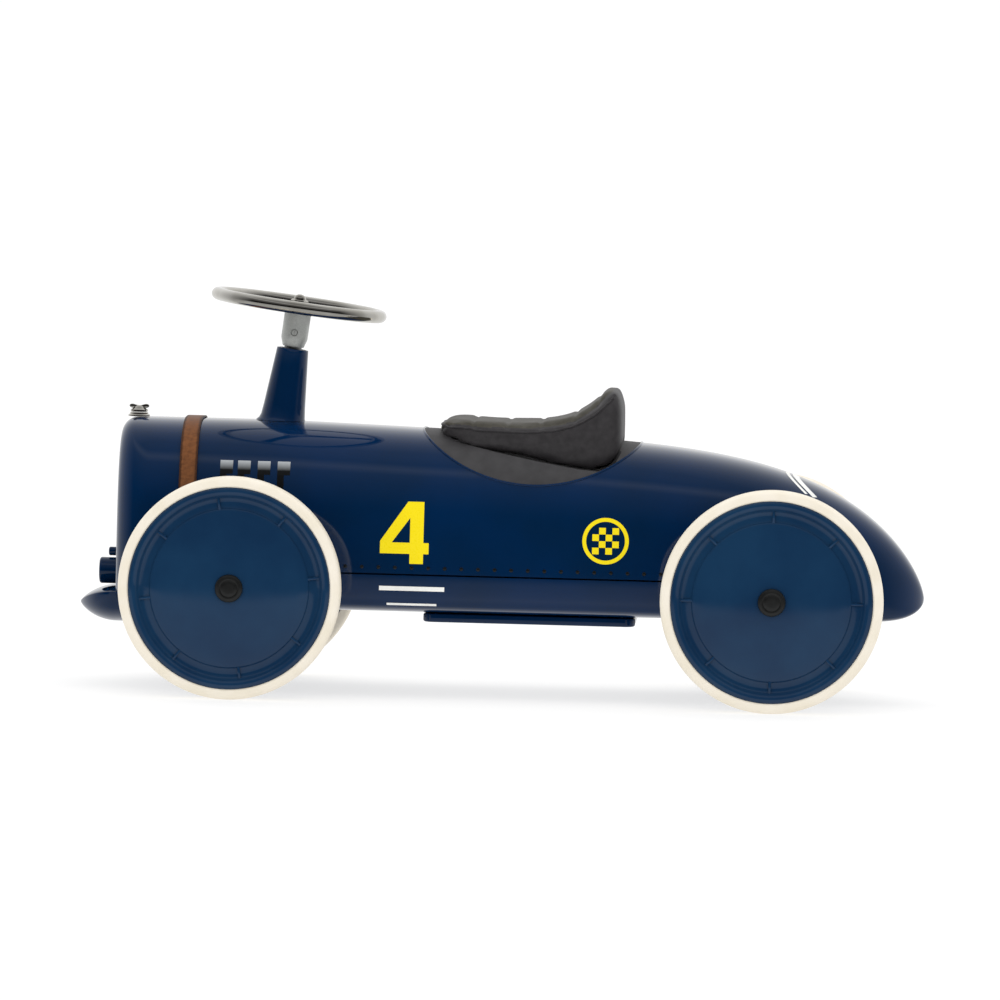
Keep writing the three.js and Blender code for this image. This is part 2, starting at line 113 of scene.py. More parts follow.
def edit(obj, mode="VERT"):
    hold(obj)
    bpy.ops.object.mode_set(mode="EDIT")
    bpy.ops.mesh.select_mode(type=mode)
    bpy.ops.mesh.select_all(action="DESELECT")


def pick(obj, test, what="faces"):
    """Selects the faces, edges or vertices of the mesh being edited that pass the test."""
    mesh = bmesh.from_edit_mesh(obj.data)
    for part in getattr(mesh, what):
        part.select_set(bool(test(part)))
    mesh.select_flush_mode()
    bmesh.update_edit_mesh(obj.data)


def tidy_mesh(obj, distance=0.01):
    """Merges doubles and turns every face outwards."""
    edit(obj)
    bpy.ops.mesh.select_all(action="SELECT")
    bpy.ops.mesh.remove_doubles(threshold=distance * MM)
    bpy.ops.mesh.normals_make_consistent(inside=False)
    clear()


def modify(obj, kind, **settings):
    """Adds a modifier, sets it and applies it."""
    hold(obj)
    modifier = obj.modifiers.new(kind.lower(), kind)
    for key, value in settings.items():
        setattr(modifier, key, value)
    bpy.ops.object.modifier_apply(modifier=modifier.name)


def rounded(obj, width, segments=3, angle=30):
    modify(obj, "BEVEL", width=width * MM, segments=segments, limit_method="ANGLE",
           angle_limit=math.radians(angle), use_clamp_overlap=True)


def settle(obj, name):
    """Puts the object's place into its mesh and names it."""
    hold(obj)
    bpy.ops.object.transform_apply(location=True, rotation=True, scale=True)
    obj.name = obj.data.name = name
    return obj


def smooth_shade(obj, angle=35):
    hold(obj)
    bpy.ops.object.shade_smooth_by_angle(angle=math.radians(angle))


def drum(radius, depth, place, axis="Z", sides=64):
    turn = {"X": (0, math.pi / 2, 0), "Y": (math.pi / 2, 0, 0), "Z": (0, 0, 0)}[axis]
    clear()
    bpy.ops.mesh.primitive_cylinder_add(vertices=sides, radius=radius * MM, depth=depth * MM,
                                        location=Vector(place) * MM, rotation=turn)
    return bpy.context.object


def slab(low, high):
    clear()
    bpy.ops.mesh.primitive_cube_add(size=1, location=(Vector(low) + Vector(high)) / 2 * MM)
    slab_object = bpy.context.object
    slab_object.scale = (Vector(high) - Vector(low)) * MM
    return settle(slab_object, "slab")


def drawn(points, closed=False):
    """A line of edges, drawn by extruding one vertex from point to point."""
    places = [Vector(p) * MM for p in points]
    clear()
    bpy.ops.mesh.primitive_plane_add(size=MM, location=places[0])
    line = bpy.context.object
    edit(line)
    bpy.ops.mesh.select_all(action="SELECT")
    bpy.ops.mesh.merge(type="CENTER")
    for here, there in zip(places, places[1:] + places[:1] * closed):
        bpy.ops.mesh.extrude_region_move(TRANSFORM_OT_translate={"value": there - here})
    bpy.ops.mesh.select_all(action="SELECT")
    bpy.ops.mesh.remove_doubles(threshold=0.001 * MM)
    clear()
    return settle(line, "line")


def turned(profile, centre=(0, 0, 0), axis="Z", steps=96, closed=True):
    """Spins a profile of (radius, height) points round an axis through a centre."""
    across = {"X": Vector((0, 0, 1)), "Y": Vector((0, 0, 1)), "Z": Vector((1, 0, 0))}[axis]
    along = {"X": Vector((1, 0, 0)), "Y": Vector((0, 1, 0)), "Z": Vector((0, 0, 1))}[axis]
    shape = drawn([Vector(centre) + across * r + along * h for r, h in profile], closed=closed)
    edit(shape)
    bpy.ops.mesh.select_all(action="SELECT")
    bpy.ops.mesh.spin(steps=steps, angle=2 * math.pi, center=Vector(centre) * MM, axis=along)
    clear()
    tidy_mesh(shape)
    return shape


def flat_shape(outline, depth, direction):
    """A flat outline filled and pulled along a direction to a depth."""
    shape = drawn(outline, closed=True)
    edit(shape)
    bpy.ops.mesh.select_all(action="SELECT")
    bpy.ops.mesh.edge_face_add()
    bpy.ops.mesh.extrude_region_move(TRANSFORM_OT_translate={"value": Vector(direction) * depth * MM})
    clear()
    tidy_mesh(shape)
    return shape


def cut(obj, tool, operation="DIFFERENCE", keep_tool=False):
    modify(obj, "BOOLEAN", object=tool, operation=operation, solver="EXACT")
    if not keep_tool:
        bpy.data.objects.remove(tool)


def copied(obj, name, matrix=Matrix.Identity(4)):
    """A copy with a mesh of its own, moved by a matrix."""
    twin = obj.copy()
    twin.data = obj.data.copy()
    bpy.context.collection.objects.link(twin)
    twin.data.transform(matrix)
    if matrix.determinant() < 0:
        twin.data.flip_normals()
    twin.name = twin.data.name = name
    return twin


def joined(pieces, name):
    hold(pieces[0])
    for piece in pieces[1:]:
        piece.select_set(True)
    bpy.ops.object.join()
    return settle(pieces[0], name)


def through(points, steps):
    """A smooth line through the points, with this many steps between neighbours."""
    line = []
    ends = [points[0], *points, points[-1]]
    for a, b, c, d in zip(ends, ends[1:], ends[2:], ends[3:]):
        for k in range(steps):
            t = k / steps
            line.append(tuple(
                0.5 * (2 * q + (r - p) * t + (2 * p - 5 * q + 4 * r - s) * t ** 2
                       + (3 * q - p - 3 * r + s) * t ** 3)
                for p, q, r, s in zip(a, b, c, d)))
    return [*line, tuple(points[-1])]


def swept(section, stations, name, tip=None):
    """A section extruded and resized from station to station, closed at both ends or drawn to a tip.

    The section is a list of (across, up); a station is (x, z, half width, height) and stretches it.
    """
    clear()
    bpy.ops.mesh.primitive_circle_add(vertices=len(section), radius=MM)
    form = bpy.context.object
    x, z, wide, high = stations[0]
    for vertex, (across, up) in zip(form.data.vertices, section):
        vertex.co = Vector((x, across * wide, z + up * high)) * MM
    edit(form)
    bpy.ops.mesh.select_all(action="SELECT")
    bpy.ops.mesh.edge_face_add()
    for new_x, new_z, new_wide, new_high in [*stations[1:], *([(*tip, 0, 0)] if tip else [])]:
        step = Vector((new_x - x, 0, new_z - z)) * MM
        bpy.ops.mesh.extrude_region_move(TRANSFORM_OT_translate={"value": step})
        bpy.ops.transform.resize(value=(1, new_wide / wide, new_high / high),
                                 center_override=Vector((new_x, 0, new_z)) * MM)
        x, z, wide, high = new_x, new_z, new_wide, new_high
    clear()
    tidy_mesh(form, 0.001)
    return settle(form, name)


def part(obj, name, body, finish, slot=None, replaces=(), angle=35):
    """Finishes a piece: names it, shades it, gives it its material, hangs it on its body and hides the CAD parts
    it replaces.
    """
    settle(obj, name)
    smooth_shade(obj, angle)
    obj.data.materials.clear()
    obj.data.materials.append(finish)
    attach(obj, body)
    if replaces:
        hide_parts(*replaces)
    return obj


# ---- materials --------

def linear(hex_colour):
    """An sRGB hex colour as the linear RGBA that Blender's sockets take."""
    channels = [int(hex_colour[i:i + 2], 16) / 255 for i in (1, 3, 5)]
    return [c / 12.92 if c <= 0.04045 else ((c + 0.055) / 1.055) ** 2.4 for c in channels] + [1.0]


def node(tree, kind, settings=None, links=None):
    """Adds a node; a setting is a property or an input's value, a link is input: output socket."""
    made = tree.nodes.new(kind)
    for key, value in (settings or {}).items():
        if isinstance(key, str) and hasattr(made, key):
            setattr(made, key, value)
        else:
            made.inputs[key].default_value = value
    for key, source in (links or {}).items():
        tree.links.new(source, made.inputs[key])
    return made


def new_finish(name, settings):
    """A material with its one shader, and the object's own coordinates to draw patterns on."""
    finish = bpy.data.materials.new(name)
    finish.use_nodes = True
    tree = finish.node_tree
    shader = tree.nodes["Principled BSDF"]
    for key, value in settings.items():
        shader.inputs[key].default_value = value
    place = node(tree, "ShaderNodeTexCoord").outputs["Object"]
    return finish, tree, shader, place


def blend_colours(tree, shader, factor, colours, stops=(0.35, 0.65)):
    ramp = node(tree, "ShaderNodeValToRGB", links={"Fac": factor})
    for stop, at, colour in zip(ramp.color_ramp.elements, stops, colours):
        stop.position = at
        stop.color = linear(colour)
    tree.links.new(ramp.outputs["Color"], shader.inputs["Base Color"])
    return ramp


def vary_roughness(tree, shader, factor, low, high):
    spread = node(tree, "ShaderNodeMapRange", {"To Min": low, "To Max": high}, {"Value": factor})
    tree.links.new(spread.outputs["Result"], shader.inputs["Roughness"])


def raise_surface(tree, shader, height, strength, depth):
    bump = node(tree, "ShaderNodeBump", {"Strength": strength, "Distance": depth * MM}, {"Height": height})
    tree.links.new(bump.outputs["Normal"], shader.inputs["Normal"])


def noise(tree, place, size, detail=3.0):
    """Cloudy noise whose lumps are about this many millimetres across."""
    return node(tree, "ShaderNodeTexNoise", {"Scale": 1 / (size * MM), "Detail": detail},
                {"Vector": place}).outputs["Fac"]


def cells(tree, place, size, feature="F1"):
    return node(tree, "ShaderNodeTexVoronoi", {"feature": feature, "Scale": 1 / (size * MM)},
                {"Vector": place}).outputs["Distance"]


def stoved_enamel():
    """Navy stoved enamel on steel: a deep wet gloss with a trace of orange peel."""
    finish, tree, shader, place = new_finish("stoved_enamel_navy", {"IOR": 1.5, "Roughness": 0.06})
    blend_colours(tree, shader, noise(tree, place, 90), ("#02203f", "#012348"))
    vary_roughness(tree, shader, noise(tree, place, 25), 0.04, 0.09)
    raise_surface(tree, shader, noise(tree, place, 4, 1.0), 0.05, 0.05)
    return finish


def moulded_wheel():
    """Injection moulded polypropylene, self-coloured navy: glossy, with faint flow clouds."""
    finish, tree, shader, place = new_finish("moulded_polypropylene_navy", {"IOR": 1.49, "Roughness": 0.05})
    blend_colours(tree, shader, noise(tree, place, 60, 5.0), ("#122e4c", "#173654"))
    vary_roughness(tree, shader, noise(tree, place, 18), 0.03, 0.07)
    raise_surface(tree, shader, noise(tree, place, 9, 1.0), 0.03, 0.06)
    return finish


def chrome_plate():
    """Chrome plate on polished steel: a bright warm mirror with hairline polish marks."""
    finish, tree, shader, place = new_finish("chrome_plated_steel", {"Metallic": 1.0})
    streak = node(tree, "ShaderNodeMapping", {"Scale": (1, 1, 12)}, {"Vector": place}).outputs["Vector"]
    blend_colours(tree, shader, noise(tree, place, 30), ("#bdbab2", "#d3d1cb"))
    vary_roughness(tree, shader, noise(tree, streak, 6, 6.0), 0.04, 0.12)
    raise_surface(tree, shader, noise(tree, streak, 3), 0.03, 0.02)
    return finish


def satin_casting():
    """Bead-blasted zinc casting, lacquered: a soft grey metal with fine speckle."""
    finish, tree, shader, place = new_finish("bead_blasted_zinc_casting", {"Metallic": 0.55})
    speckle = noise(tree, place, 0.9, 4.0)
    blend_colours(tree, shader, speckle, ("#b4b7b4", "#c9cbc8"))
    vary_roughness(tree, shader, speckle, 0.34, 0.5)
    raise_surface(tree, shader, speckle, 0.25, 0.06)
    return finish


def zinc_plate():
    """Zinc plated steel: a dull grey metal with a faint crystalline bloom."""
    finish, tree, shader, place = new_finish("zinc_plated_steel", {"Metallic": 1.0})
    bloom = cells(tree, place, 5)
    blend_colours(tree, shader, bloom, ("#8b8e91", "#a3a6a8"), (0.2, 0.8))
    vary_roughness(tree, shader, bloom, 0.32, 0.45)
    raise_surface(tree, shader, noise(tree, place, 0.8), 0.1, 0.03)
    return finish


def moulded_rubber():
    """Moulded cream rubber: matt and slightly mottled, with a powdery skin."""
    finish, tree, shader, place = new_finish("moulded_rubber_cream", {"IOR": 1.5, "Roughness": 0.7})
    mottle = noise(tree, place, 22, 6.0)
    blend_colours(tree, shader, mottle, ("#ece3d0", "#f2eadb"))
    vary_roughness(tree, shader, noise(tree, place, 7), 0.6, 0.78)
    raise_surface(tree, shader, noise(tree, place, 0.7, 5.0), 0.12, 0.08)
    return finish


def spark_grain(name, colours, roughness, grain):
    """Moulded plastic with a spark-eroded grain: a dry, even texture that kills the shine."""
    finish, tree, shader, place = new_finish(name, {"IOR": 1.5})
    blend_colours(tree, shader, noise(tree, place, 12, 4.0), colours)
    vary_roughness(tree, shader, noise(tree, place, grain * 2), *roughness)
    raise_surface(tree, shader, cells(tree, place, grain), 0.18, grain * 0.12)
    return finish


def leatherette(name, colours, roughness):
    """Coated leathercloth: pebbled grain with soft creases between the pebbles."""
    finish, tree, shader, place = new_finish(name, {"IOR": 1.5, "Specular IOR Level": 0.3, "Sheen Weight": 0.04,
                                            "Sheen Roughness": 0.4})
    pebbles = cells(tree, place, 1.3)
    creases = noise(tree, place, 6, 8.0)
    both = node(tree, "ShaderNodeMath", {"operation": "MULTIPLY_ADD", 1: 0.6}, {0: creases, 2: pebbles})
    blend_colours(tree, shader, creases, colours, (0.3, 0.7))
    vary_roughness(tree, shader, creases, *roughness)
    raise_surface(tree, shader, both.outputs[0], 0.35, 0.22)
    return finish


def strap_leather():
    """Vegetable tanned strap: warm brown, with painted shade darkening it towards both edges."""
    finish, tree, shader, place = new_finish("bridle_leather_brown", {"IOR": 1.5, "Specular IOR Level": 0.25})
    grain = noise(tree, place, 3, 8.0)
    x = node(tree, "ShaderNodeSeparateXYZ", links={"Vector": place}).outputs["X"]
    middle = (STRAP_X[0] + STRAP_X[1]) / 2 * MM
    from_middle = node(tree, "ShaderNodeMath", {"operation": "SUBTRACT", 1: middle}, {0: x})
    distance = node(tree, "ShaderNodeMath", {"operation": "ABSOLUTE"}, {0: from_middle.outputs[0]})
    # painted shade: the strap's colour darkens over its last few millimetres on each side
    edge = node(tree, "ShaderNodeMapRange", {"From Min": 5.5 * MM, "From Max": 8 * MM},
                {"Value": distance.outputs[0]})
    grain_less_edge_shade = node(tree, "ShaderNodeMath", {"operation": "SUBTRACT"}, {0: grain, 1: edge.outputs["Result"]})
    blend_colours(tree, shader, grain_less_edge_shade.outputs[0], ("#47270f", "#7b4a24"), (0.0, 0.6))
    vary_roughness(tree, shader, grain, 0.42, 0.6)
    raise_surface(tree, shader, cells(tree, place, 0.8), 0.3, 0.1)
    return finish


def screen_ink(name, colour, second=None):
    """Screen-printed enamel ink: flat and opaque, a little duller than the paint it lies on."""
    finish, tree, shader, place = new_finish(name, {"IOR": 1.5, "Specular IOR Level": 0.25})
    blend_colours(tree, shader, noise(tree, place, 15), (colour, second or colour))
    vary_roughness(tree, shader, noise(tree, place, 2), 0.22, 0.34)
    raise_surface(tree, shader, noise(tree, place, 1), 0.05, 0.02)
    return finish


LOUVRE_TOP, LOUVRE_FADE = 210.5, 11     # printed louvres fade from silver to black over this height


def louvre_ink():
    """Half-tone silver printed over black, fading downwards to imitate the lip of a louvre."""
    finish, tree, shader, place = new_finish("screen_ink_louvre", {"IOR": 1.5, "Roughness": 0.3})
    z = node(tree, "ShaderNodeSeparateXYZ", links={"Vector": place}).outputs["Z"]
    fade = node(tree, "ShaderNodeMapRange", {"From Min": (LOUVRE_TOP - LOUVRE_FADE) * MM,
                                             "From Max": LOUVRE_TOP * MM}, {"Value": z})
    blend_colours(tree, shader, fade.outputs["Result"], ("#05080c", "#b4b9bd"), (0.25, 1.0))
    raise_surface(tree, shader, noise(tree, place, 1), 0.05, 0.02)
    return finish


ENAMEL = stoved_enamel()
WHEEL_PLASTIC = moulded_wheel()
CHROME = chrome_plate()
CASTING = satin_casting()
ZINC = zinc_plate()
RUBBER = moulded_rubber()
BLACK_CAP = spark_grain("moulded_nylon_black", ("#121313", "#1b1c1c"), (0.3, 0.45), 0.8)
LINER_ABS = spark_grain("grained_abs_grey", ("#39383a", "#403f41"), (0.5, 0.65), 0.9)
NATURAL_NYLON = spark_grain("turned_nylon_natural", ("#d9d5ca", "#e4e0d6"), (0.4, 0.55), 1.5)
SEAT_SIDE = leatherette("leathercloth_black", ("#2f2d2f", "#3a383a"), (0.42, 0.58))
# Quilted top panel: its warm brown-grey tint is the cloth's own; its extra lightness over the sides is painted
# light falling on the seat's top.
SEAT_TOP = leatherette("leathercloth_black_quilted", ("#39372f", "#4b4840"), (0.45, 0.6))
STRAP = strap_leather()
YELLOW_INK = screen_ink("screen_ink_yellow", "#f8df00", "#fae204")
WHITE_INK = screen_ink("screen_ink_white", "#eeeeea", "#f6f6f2")
RIVET_INK = spark_grain("lacquered_rivet_black", ("#04070c", "#0a0f16"), (0.3, 0.4), 0.5)
LOUVRE = louvre_ink()


# ---- the body's form --------

DECK_FALL_X, DECK_FALL, TAIL_TIP_Z = -211, 17.4, 96.5
BELT_SHARE, TOP_POWER, BASE_POWER = 0.24, 3, 6
RING = 128


def corner_inset(radius, behind):
    left = max(radius - behind, 0)
    return radius - math.sqrt(radius ** 2 - left ** 2)


def deck_height(x):
    u = max(x - DECK_FALL_X, 0) / (TAIL_X - DECK_FALL_X)
    crown = BODY_DECK - TAIL_TIP_Z - DECK_FALL * u
    return TAIL_TIP_Z + crown * max(1 - u ** 6, 0) ** 0.68 - corner_inset(13, x - NOSE_X)


def base_height(x):
    u = max(x - 330, 0) / (TAIL_X - 330)
    rise = (TAIL_TIP_Z - BODY_BASE) * max(1 - u ** 3, 0) ** 0.5
    return TAIL_TIP_Z - rise + corner_inset(8, x - NOSE_X)


def half_width(x):
    forward = max(-43 - x, 0) / 313
    u = max(x - 100, 0) / (TAIL_X - 100)
    return (BODY_HALF - 10 * forward ** 2) * max(1 - u ** 2.4, 0) ** 0.588 - corner_inset(28, x - NOSE_X)


def side_at(x, z):
    """How far the body's skin stands out from the middle at a height above its belt."""
    top, base = deck_height(x), base_height(x)
    belt = base + BELT_SHARE * (top - base)
    power = TOP_POWER if z > belt else BASE_POWER
    reach = (z - belt) / (top - belt if z > belt else belt - base)
    return half_width(x) * max(1 - abs(reach) ** power, 0) ** (1 / power)


def unit_section(k):
    angle = 2 * math.pi * k / RING
    c, s = math.cos(angle), math.sin(angle)
    power = TOP_POWER if s > 0 else BASE_POWER
    across = math.copysign(abs(c) ** (2 / power), c)
    up = BELT_SHARE + (1 - BELT_SHARE if s > 0 else BELT_SHARE) * math.copysign(abs(s) ** (2 / power), s)
    return across, up


def body_stations():
    nose = [NOSE_X + 30 * (1 - math.cos(math.pi / 2 * k / 14)) for k in range(15)]
    middle = [nose[-1] + 8 * k for k in range(1, 63)]
    left = TAIL_X - middle[-1]
    tail = [middle[-1] + left * math.sin(math.pi / 2 * k / 40) for k in range(1, 41)]
    return nose + middle + tail


def body_form(grow=0.0):
    """The whole body as one closed form, grown or shrunk all round."""
    stretch = (TAIL_X - NOSE_X + 2 * grow) / (TAIL_X - NOSE_X)
    stations = [(NOSE_X - grow + (x - NOSE_X) * stretch, base_height(x) - grow, half_width(x) + grow,
                 deck_height(x) - base_height(x) + 2 * grow) for x in body_stations()[:-1]]
    return swept([unit_section(k) for k in range(RING)], stations, "body_form", (TAIL_X + grow, TAIL_TIP_Z))


def across_cockpit(grow):
    return drum(COCKPIT_R + grow, 400, (COCKPIT_X, 0, COCKPIT_Z), "Y", 256)


def skin_of(form, is_cut_face):
    """Drops the faces that cutting left, then gives the open skin the thickness of the sheet."""
    edit(form, "FACE")
    pick(form, is_cut_face)
    bpy.ops.mesh.delete(type="FACE")
    clear()
    modify(form, "SOLIDIFY", thickness=SHEET * MM, offset=-1, use_even_offset=True)


def in_cockpit(point):
    """Whether a point, in metres, lies on the cylinder that cuts the cockpit."""
    reach = math.hypot(point.x / MM - COCKPIT_X, point.z / MM - COCKPIT_Z)
    return abs(reach - COCKPIT_R) < 0.1


FORM = body_form()


# ---- body shells --------

def cockpit_rim():
    """The line where the cockpit's cylinder meets the body, once round."""
    low, high = COCKPIT_X - 110, COCKPIT_X + 110
    arc = lambda x: COCKPIT_Z - math.sqrt(COCKPIT_R ** 2 - (x - COCKPIT_X) ** 2)
    front = next(x for x in (low + k * 0.05 for k in range(2000)) if arc(x) < deck_height(x))
    rear = next(x for x in (high - k * 0.05 for k in range(2000)) if arc(x) < deck_height(x))
    xs = [(front + rear) / 2 - (rear - front) / 2 * math.cos(math.pi * k / 90) for k in range(91)]
    half = [(x, side_at(x, arc(x)), arc(x)) for x in xs]
    return [(x, -y, z) for x, y, z in half] + [(x, y, z) for x, y, z in half[-2:0:-1]]


def corded(line, radius):
    """Gives a line of edges a round section."""
    hold(line)
    bpy.ops.object.convert(target="CURVE")
    cord = bpy.context.object
    cord.data.bevel_depth = radius * MM
    cord.data.bevel_resolution = 3
    cord.data.use_fill_caps = True
    bpy.ops.object.convert(target="MESH")
    return bpy.context.object


def axle_slot():
    """Room on both sides for the front axle to swing in."""
    return slab((AXLE_X["front"] - 34, -WIDE, AXLE_Z - 16), (AXLE_X["front"] + 34, WIDE, AXLE_Z + 18))


def left_on(face, level, ends):
    """Whether a face is one that cutting at the seam's level or across the ends has left."""
    centre = face.calc_center_median() / MM
    on_seam = abs(centre.z - level) < 0.01 and abs(face.normal.z) > 0.9
    return on_seam or (min(abs(centre.x - end) for end in ends) < 0.01 and abs(face.normal.x) > 0.9)


def upper_shell():
    """Bonnet, flanks and tail in one pressing, with a rolled bead round the cockpit."""
    shell = copied(FORM, "upper_shell")
    ends = TRAY_FRONT - 1, TRAY_REAR + 1
    cut(shell, slab((ends[0], -WIDE, 0), (ends[1], WIDE, SEAM_HIGH)))
    cut(shell, across_cockpit(0))

    def on_cockpit(face):
        return all(in_cockpit(v.co) for v in face.verts) and abs(face.normal.y) < 0.02

    skin_of(shell, lambda face: left_on(face, SEAM_HIGH, ends) or on_cockpit(face))
    low, high = span("radiator_grille")
    opening = slab((NOSE_X - 5, low.y + 3, low.z + 3), (NOSE_X + 5, high.y - 3, high.z - 3))
    edit(opening, "EDGE")
    pick(opening, lambda e: abs(e.verts[0].co.x - e.verts[1].co.x) > MM, "edges")
    bpy.ops.mesh.bevel(offset=9 * MM, segments=6)
    clear()
    cut(shell, opening)
    cut(shell, axle_slot())
    bead = corded(drawn(cockpit_rim(), closed=True), 1.1)
    return joined([shell, bead], "upper_shell")


def lower_shell():
    """Trough below the seam, with a notch on each side for the front axle to swing in."""
    shell = copied(FORM, "lower_shell")
    ends = TRAY_FRONT, TRAY_REAR
    cut(shell, slab((ends[0], -WIDE, 0), (ends[1], WIDE, SEAM_LOW)), "INTERSECT")
    skin_of(shell, lambda face: left_on(face, SEAM_LOW, ends))
    cut(shell, axle_slot())
    cut(shell, drum(AXLE_R + 1, 300, (AXLE_X["rear"], 0, AXLE_Z), "Y"))
    return shell


part(upper_shell(), "body_upper", "chassis", ENAMEL, "gloss_navy_paint", ["upper_body_shell"], 40)
part(lower_shell(), "body_lower", "chassis", ENAMEL, "gloss_navy_paint", ["lower_body_shell"], 40)


def belly_tray():
    low, high = span("belly_pan")
    tray = slab((low.x, low.y, low.z), (high.x, high.y, high.z))
    edit(tray, "EDGE")
    pick(tray, lambda e: abs(e.verts[0].co.z - e.verts[1].co.z) > MM, "edges")
    bpy.ops.mesh.bevel(offset=10 * MM, segments=6)
    clear()
    rounded(tray, 1.6, 3)
    return tray


part(belly_tray(), "belly_tray", "chassis", ENAMEL, "gloss_navy_paint", ["belly_pan"])


# ---- nose and bonnet fittings --------

def grille():
    """Pressed radiator plate: a rolled frame with nine slats set on edge behind it."""
    low, high = (corner + Vector((NOSE_TRIM, 0, 0)) for corner in span("radiator_grille"))
    plate = slab(low, high)
    edit(plate, "FACE")
    pick(plate, lambda f: f.normal.x < -0.9)
    bpy.ops.mesh.inset(thickness=8 * MM)
    bpy.ops.mesh.extrude_region_move(TRANSFORM_OT_translate={"value": (2 * MM, 0, 0)})
    bpy.ops.mesh.delete(type="FACE")
    pick(plate, lambda f: f.normal.x > 0.9)
    bpy.ops.mesh.inset(thickness=8 * MM)
    bpy.ops.mesh.delete(type="FACE")
    clear()
    modify(plate, "SOLIDIFY", thickness=0.5 * MM, offset=-1)
    rounded(plate, 0.3, 2)
    slats = []
    for k in range(-4, 5):
        y = k * 9
        slat = slab((low.x + 0.2, y - 2.6, low.z + 7), (low.x + 3.4, y + 2.6, high.z - 7))
        edit(slat, "EDGE")
        pick(slat, lambda e: abs(e.verts[0].co.z - e.verts[1].co.z) > MM
             and max(v.co.x for v in e.verts) < (low.x + 1) * MM, "edges")
        bpy.ops.mesh.bevel(offset=1.6 * MM, segments=4)
        clear()
        slats.append(slat)
    return joined([plate, *slats], "grille")


part(grille(), "radiator_grille_slats", "chassis", CHROME, "chrome", ["radiator_grille"])


def cap_base():
    low, high = span("radiator_cap_base")
    r, h = (high.x - low.x) / 2, high.z - low.z
    profile = [(0, 0), (r, 0), (r, 1), (r - 0.8, 1.8), (r - 1.6, 2.2), (r - 1.6, h - 0.6), (r - 2.2, h), (0, h)]
    return turned(profile, (CAP_X, 0, low.z), closed=False)


def cap_top():
    """Screw cap with two wings to turn it by."""
    low, high = span("radiator_cap")
    h = high.z - low.z
    profile = [(0, 0), (7.4, 0), (8, 0.5), (8, 1.8), (7.2, 2.4), (5.6, 3.2), (4.6, 4.6), (2.6, 5.6), (0, 5.8)]
    dome = turned(profile, (CAP_X, 0, low.z), closed=False)
    outline = [(CAP_X + x, -1.5, low.z + z) for x, z in through(
        [(-3, 3), (-6, 3.2), (-8.8, 4.4), (-8.6, 6.4), (-6, h), (-2.6, 6.2), (0, 5.9), (2.6, 6.2), (6, h),
         (8.6, 6.4), (8.8, 4.4), (6, 3.2), (3, 3)], 3)]
    wings = flat_shape(outline, 3, (0, 1, 0))
    rounded(wings, 0.7, 3, 50)
    return joined([dome, wings], "cap_top")


part(cap_base(), "cap_neck", "chassis", CHROME, "chrome", ["radiator_cap_base"])
part(cap_top(), "cap_winged", "chassis", CHROME, "chrome", ["radiator_cap"])


def nose_knob(node_name, shoulder):
    """Stub on the front of the nose: a turned end with a soft shoulder and a shallow dimple."""
    low, high = span(node_name)
    r, length = (high.z - low.z) / 2, high.x - low.x
    profile = [(0, -NOSE_TRIM), (r, -NOSE_TRIM), (r, length - shoulder)]
    profile += [(r - shoulder * (1 - math.cos(a)), length - shoulder * (1 - math.sin(a)))
                for a in (math.pi / 2 * k / 6 for k in range(1, 7))]
    profile += [(r * 0.45, length), (r * 0.35, length - 0.6), (0, length - 0.9)]
    knob = turned([(across, -along) for across, along in profile], (high.x, 0, (low.z + high.z) / 2), "X",
                  closed=False)
    return knob


part(nose_knob("crank_boss", 2.2), "crank_stub", "chassis", ENAMEL, "gloss_navy_paint", ["crank_boss"])
part(nose_knob("crank_pin", 1.6), "crank_peg", "chassis", ENAMEL, "gloss_navy_paint", ["crank_pin"])


def bullet(inset, back):
    """A bullet lying under the nose, rounded below and nearly flat on top, shrunk by an inset."""
    tip, tip_z, nose, half, lift, crown, depth = span("front_apron")[0].x + inset, 74, 34, 50, 12, 4, 29
    turns = [2 * math.pi * i / 64 for i in range(64)]
    section = [((half - inset) * math.cos(a),
                lift + math.sin(a) * ((crown if math.sin(a) > 0 else depth) - inset)) for a in turns]
    swells = [((k / 24) ** 1.8, (1 - (1 - (k / 24) ** 1.8) ** 2) ** 0.75) for k in range(24, 0, -1)]
    stations = [(back, tip_z, 1, 1), *[(tip + nose * t, tip_z, swell, swell) for t, swell in swells]]
    return swept(section, stations, "bullet", (tip, tip_z))


def apron():
    """Bullet-shaped fairing pressed from sheet, open where it runs back under the body."""
    back = span("front_apron")[1].x
    fairing = bullet(0, back)
    cut(fairing, bullet(1.5, back + 10))
    cut(fairing, body_form(0.3))
    tidy_mesh(fairing, 0.002)
    return fairing


part(apron(), "nose_fairing", "chassis", ENAMEL, "gloss_navy_paint", ["front_apron"])


def strap():
    """Leather strap laid over the bonnet, its edges burnished round."""
    band = body_form(2.0)
    inner = body_form(0.35)
    cut(band, inner)
    stud_z = span("strap_stud_left")[0].z + 5
    cut(band, slab((STRAP_X[0], -WIDE, stud_z - 8), (STRAP_X[1], WIDE, BODY_DECK + 25)), "INTERSECT")
    tidy_mesh(band, 0.005)
    rounded(band, 0.5, 3, 50)
    return band


part(strap(), "bonnet_belt", "chassis", STRAP, "brown_leather", ["bonnet_strap"])


def strap_stud():
    """Domed stud with a collar, turned in one piece."""
    low, high = span("strap_stud_right")
    z, face = low.z + 5, high.y
    profile = [(0, -8.6), (2, -8.6), (2, -2.6), (5, -2.6), (5, -1.8), (4.4, -1.4), (3.6, -1.2), (3.2, -0.5),
               (2, -0.1), (0, 0)]
    x = (STRAP_X[0] + STRAP_X[1]) / 2
    return turned(profile, (x, face, z), "Y", 48, closed=False)


STUD = part(strap_stud(), "belt_stud_right", "chassis", CHROME, "chrome", ["strap_stud_right"])
MIRROR_Y = Matrix.Diagonal((1, -1, 1, 1))
other_stud = copied(STUD, "belt_stud_left", MIRROR_Y)
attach(other_stud, "chassis")
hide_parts("strap_stud_left")


# ---- cockpit --------

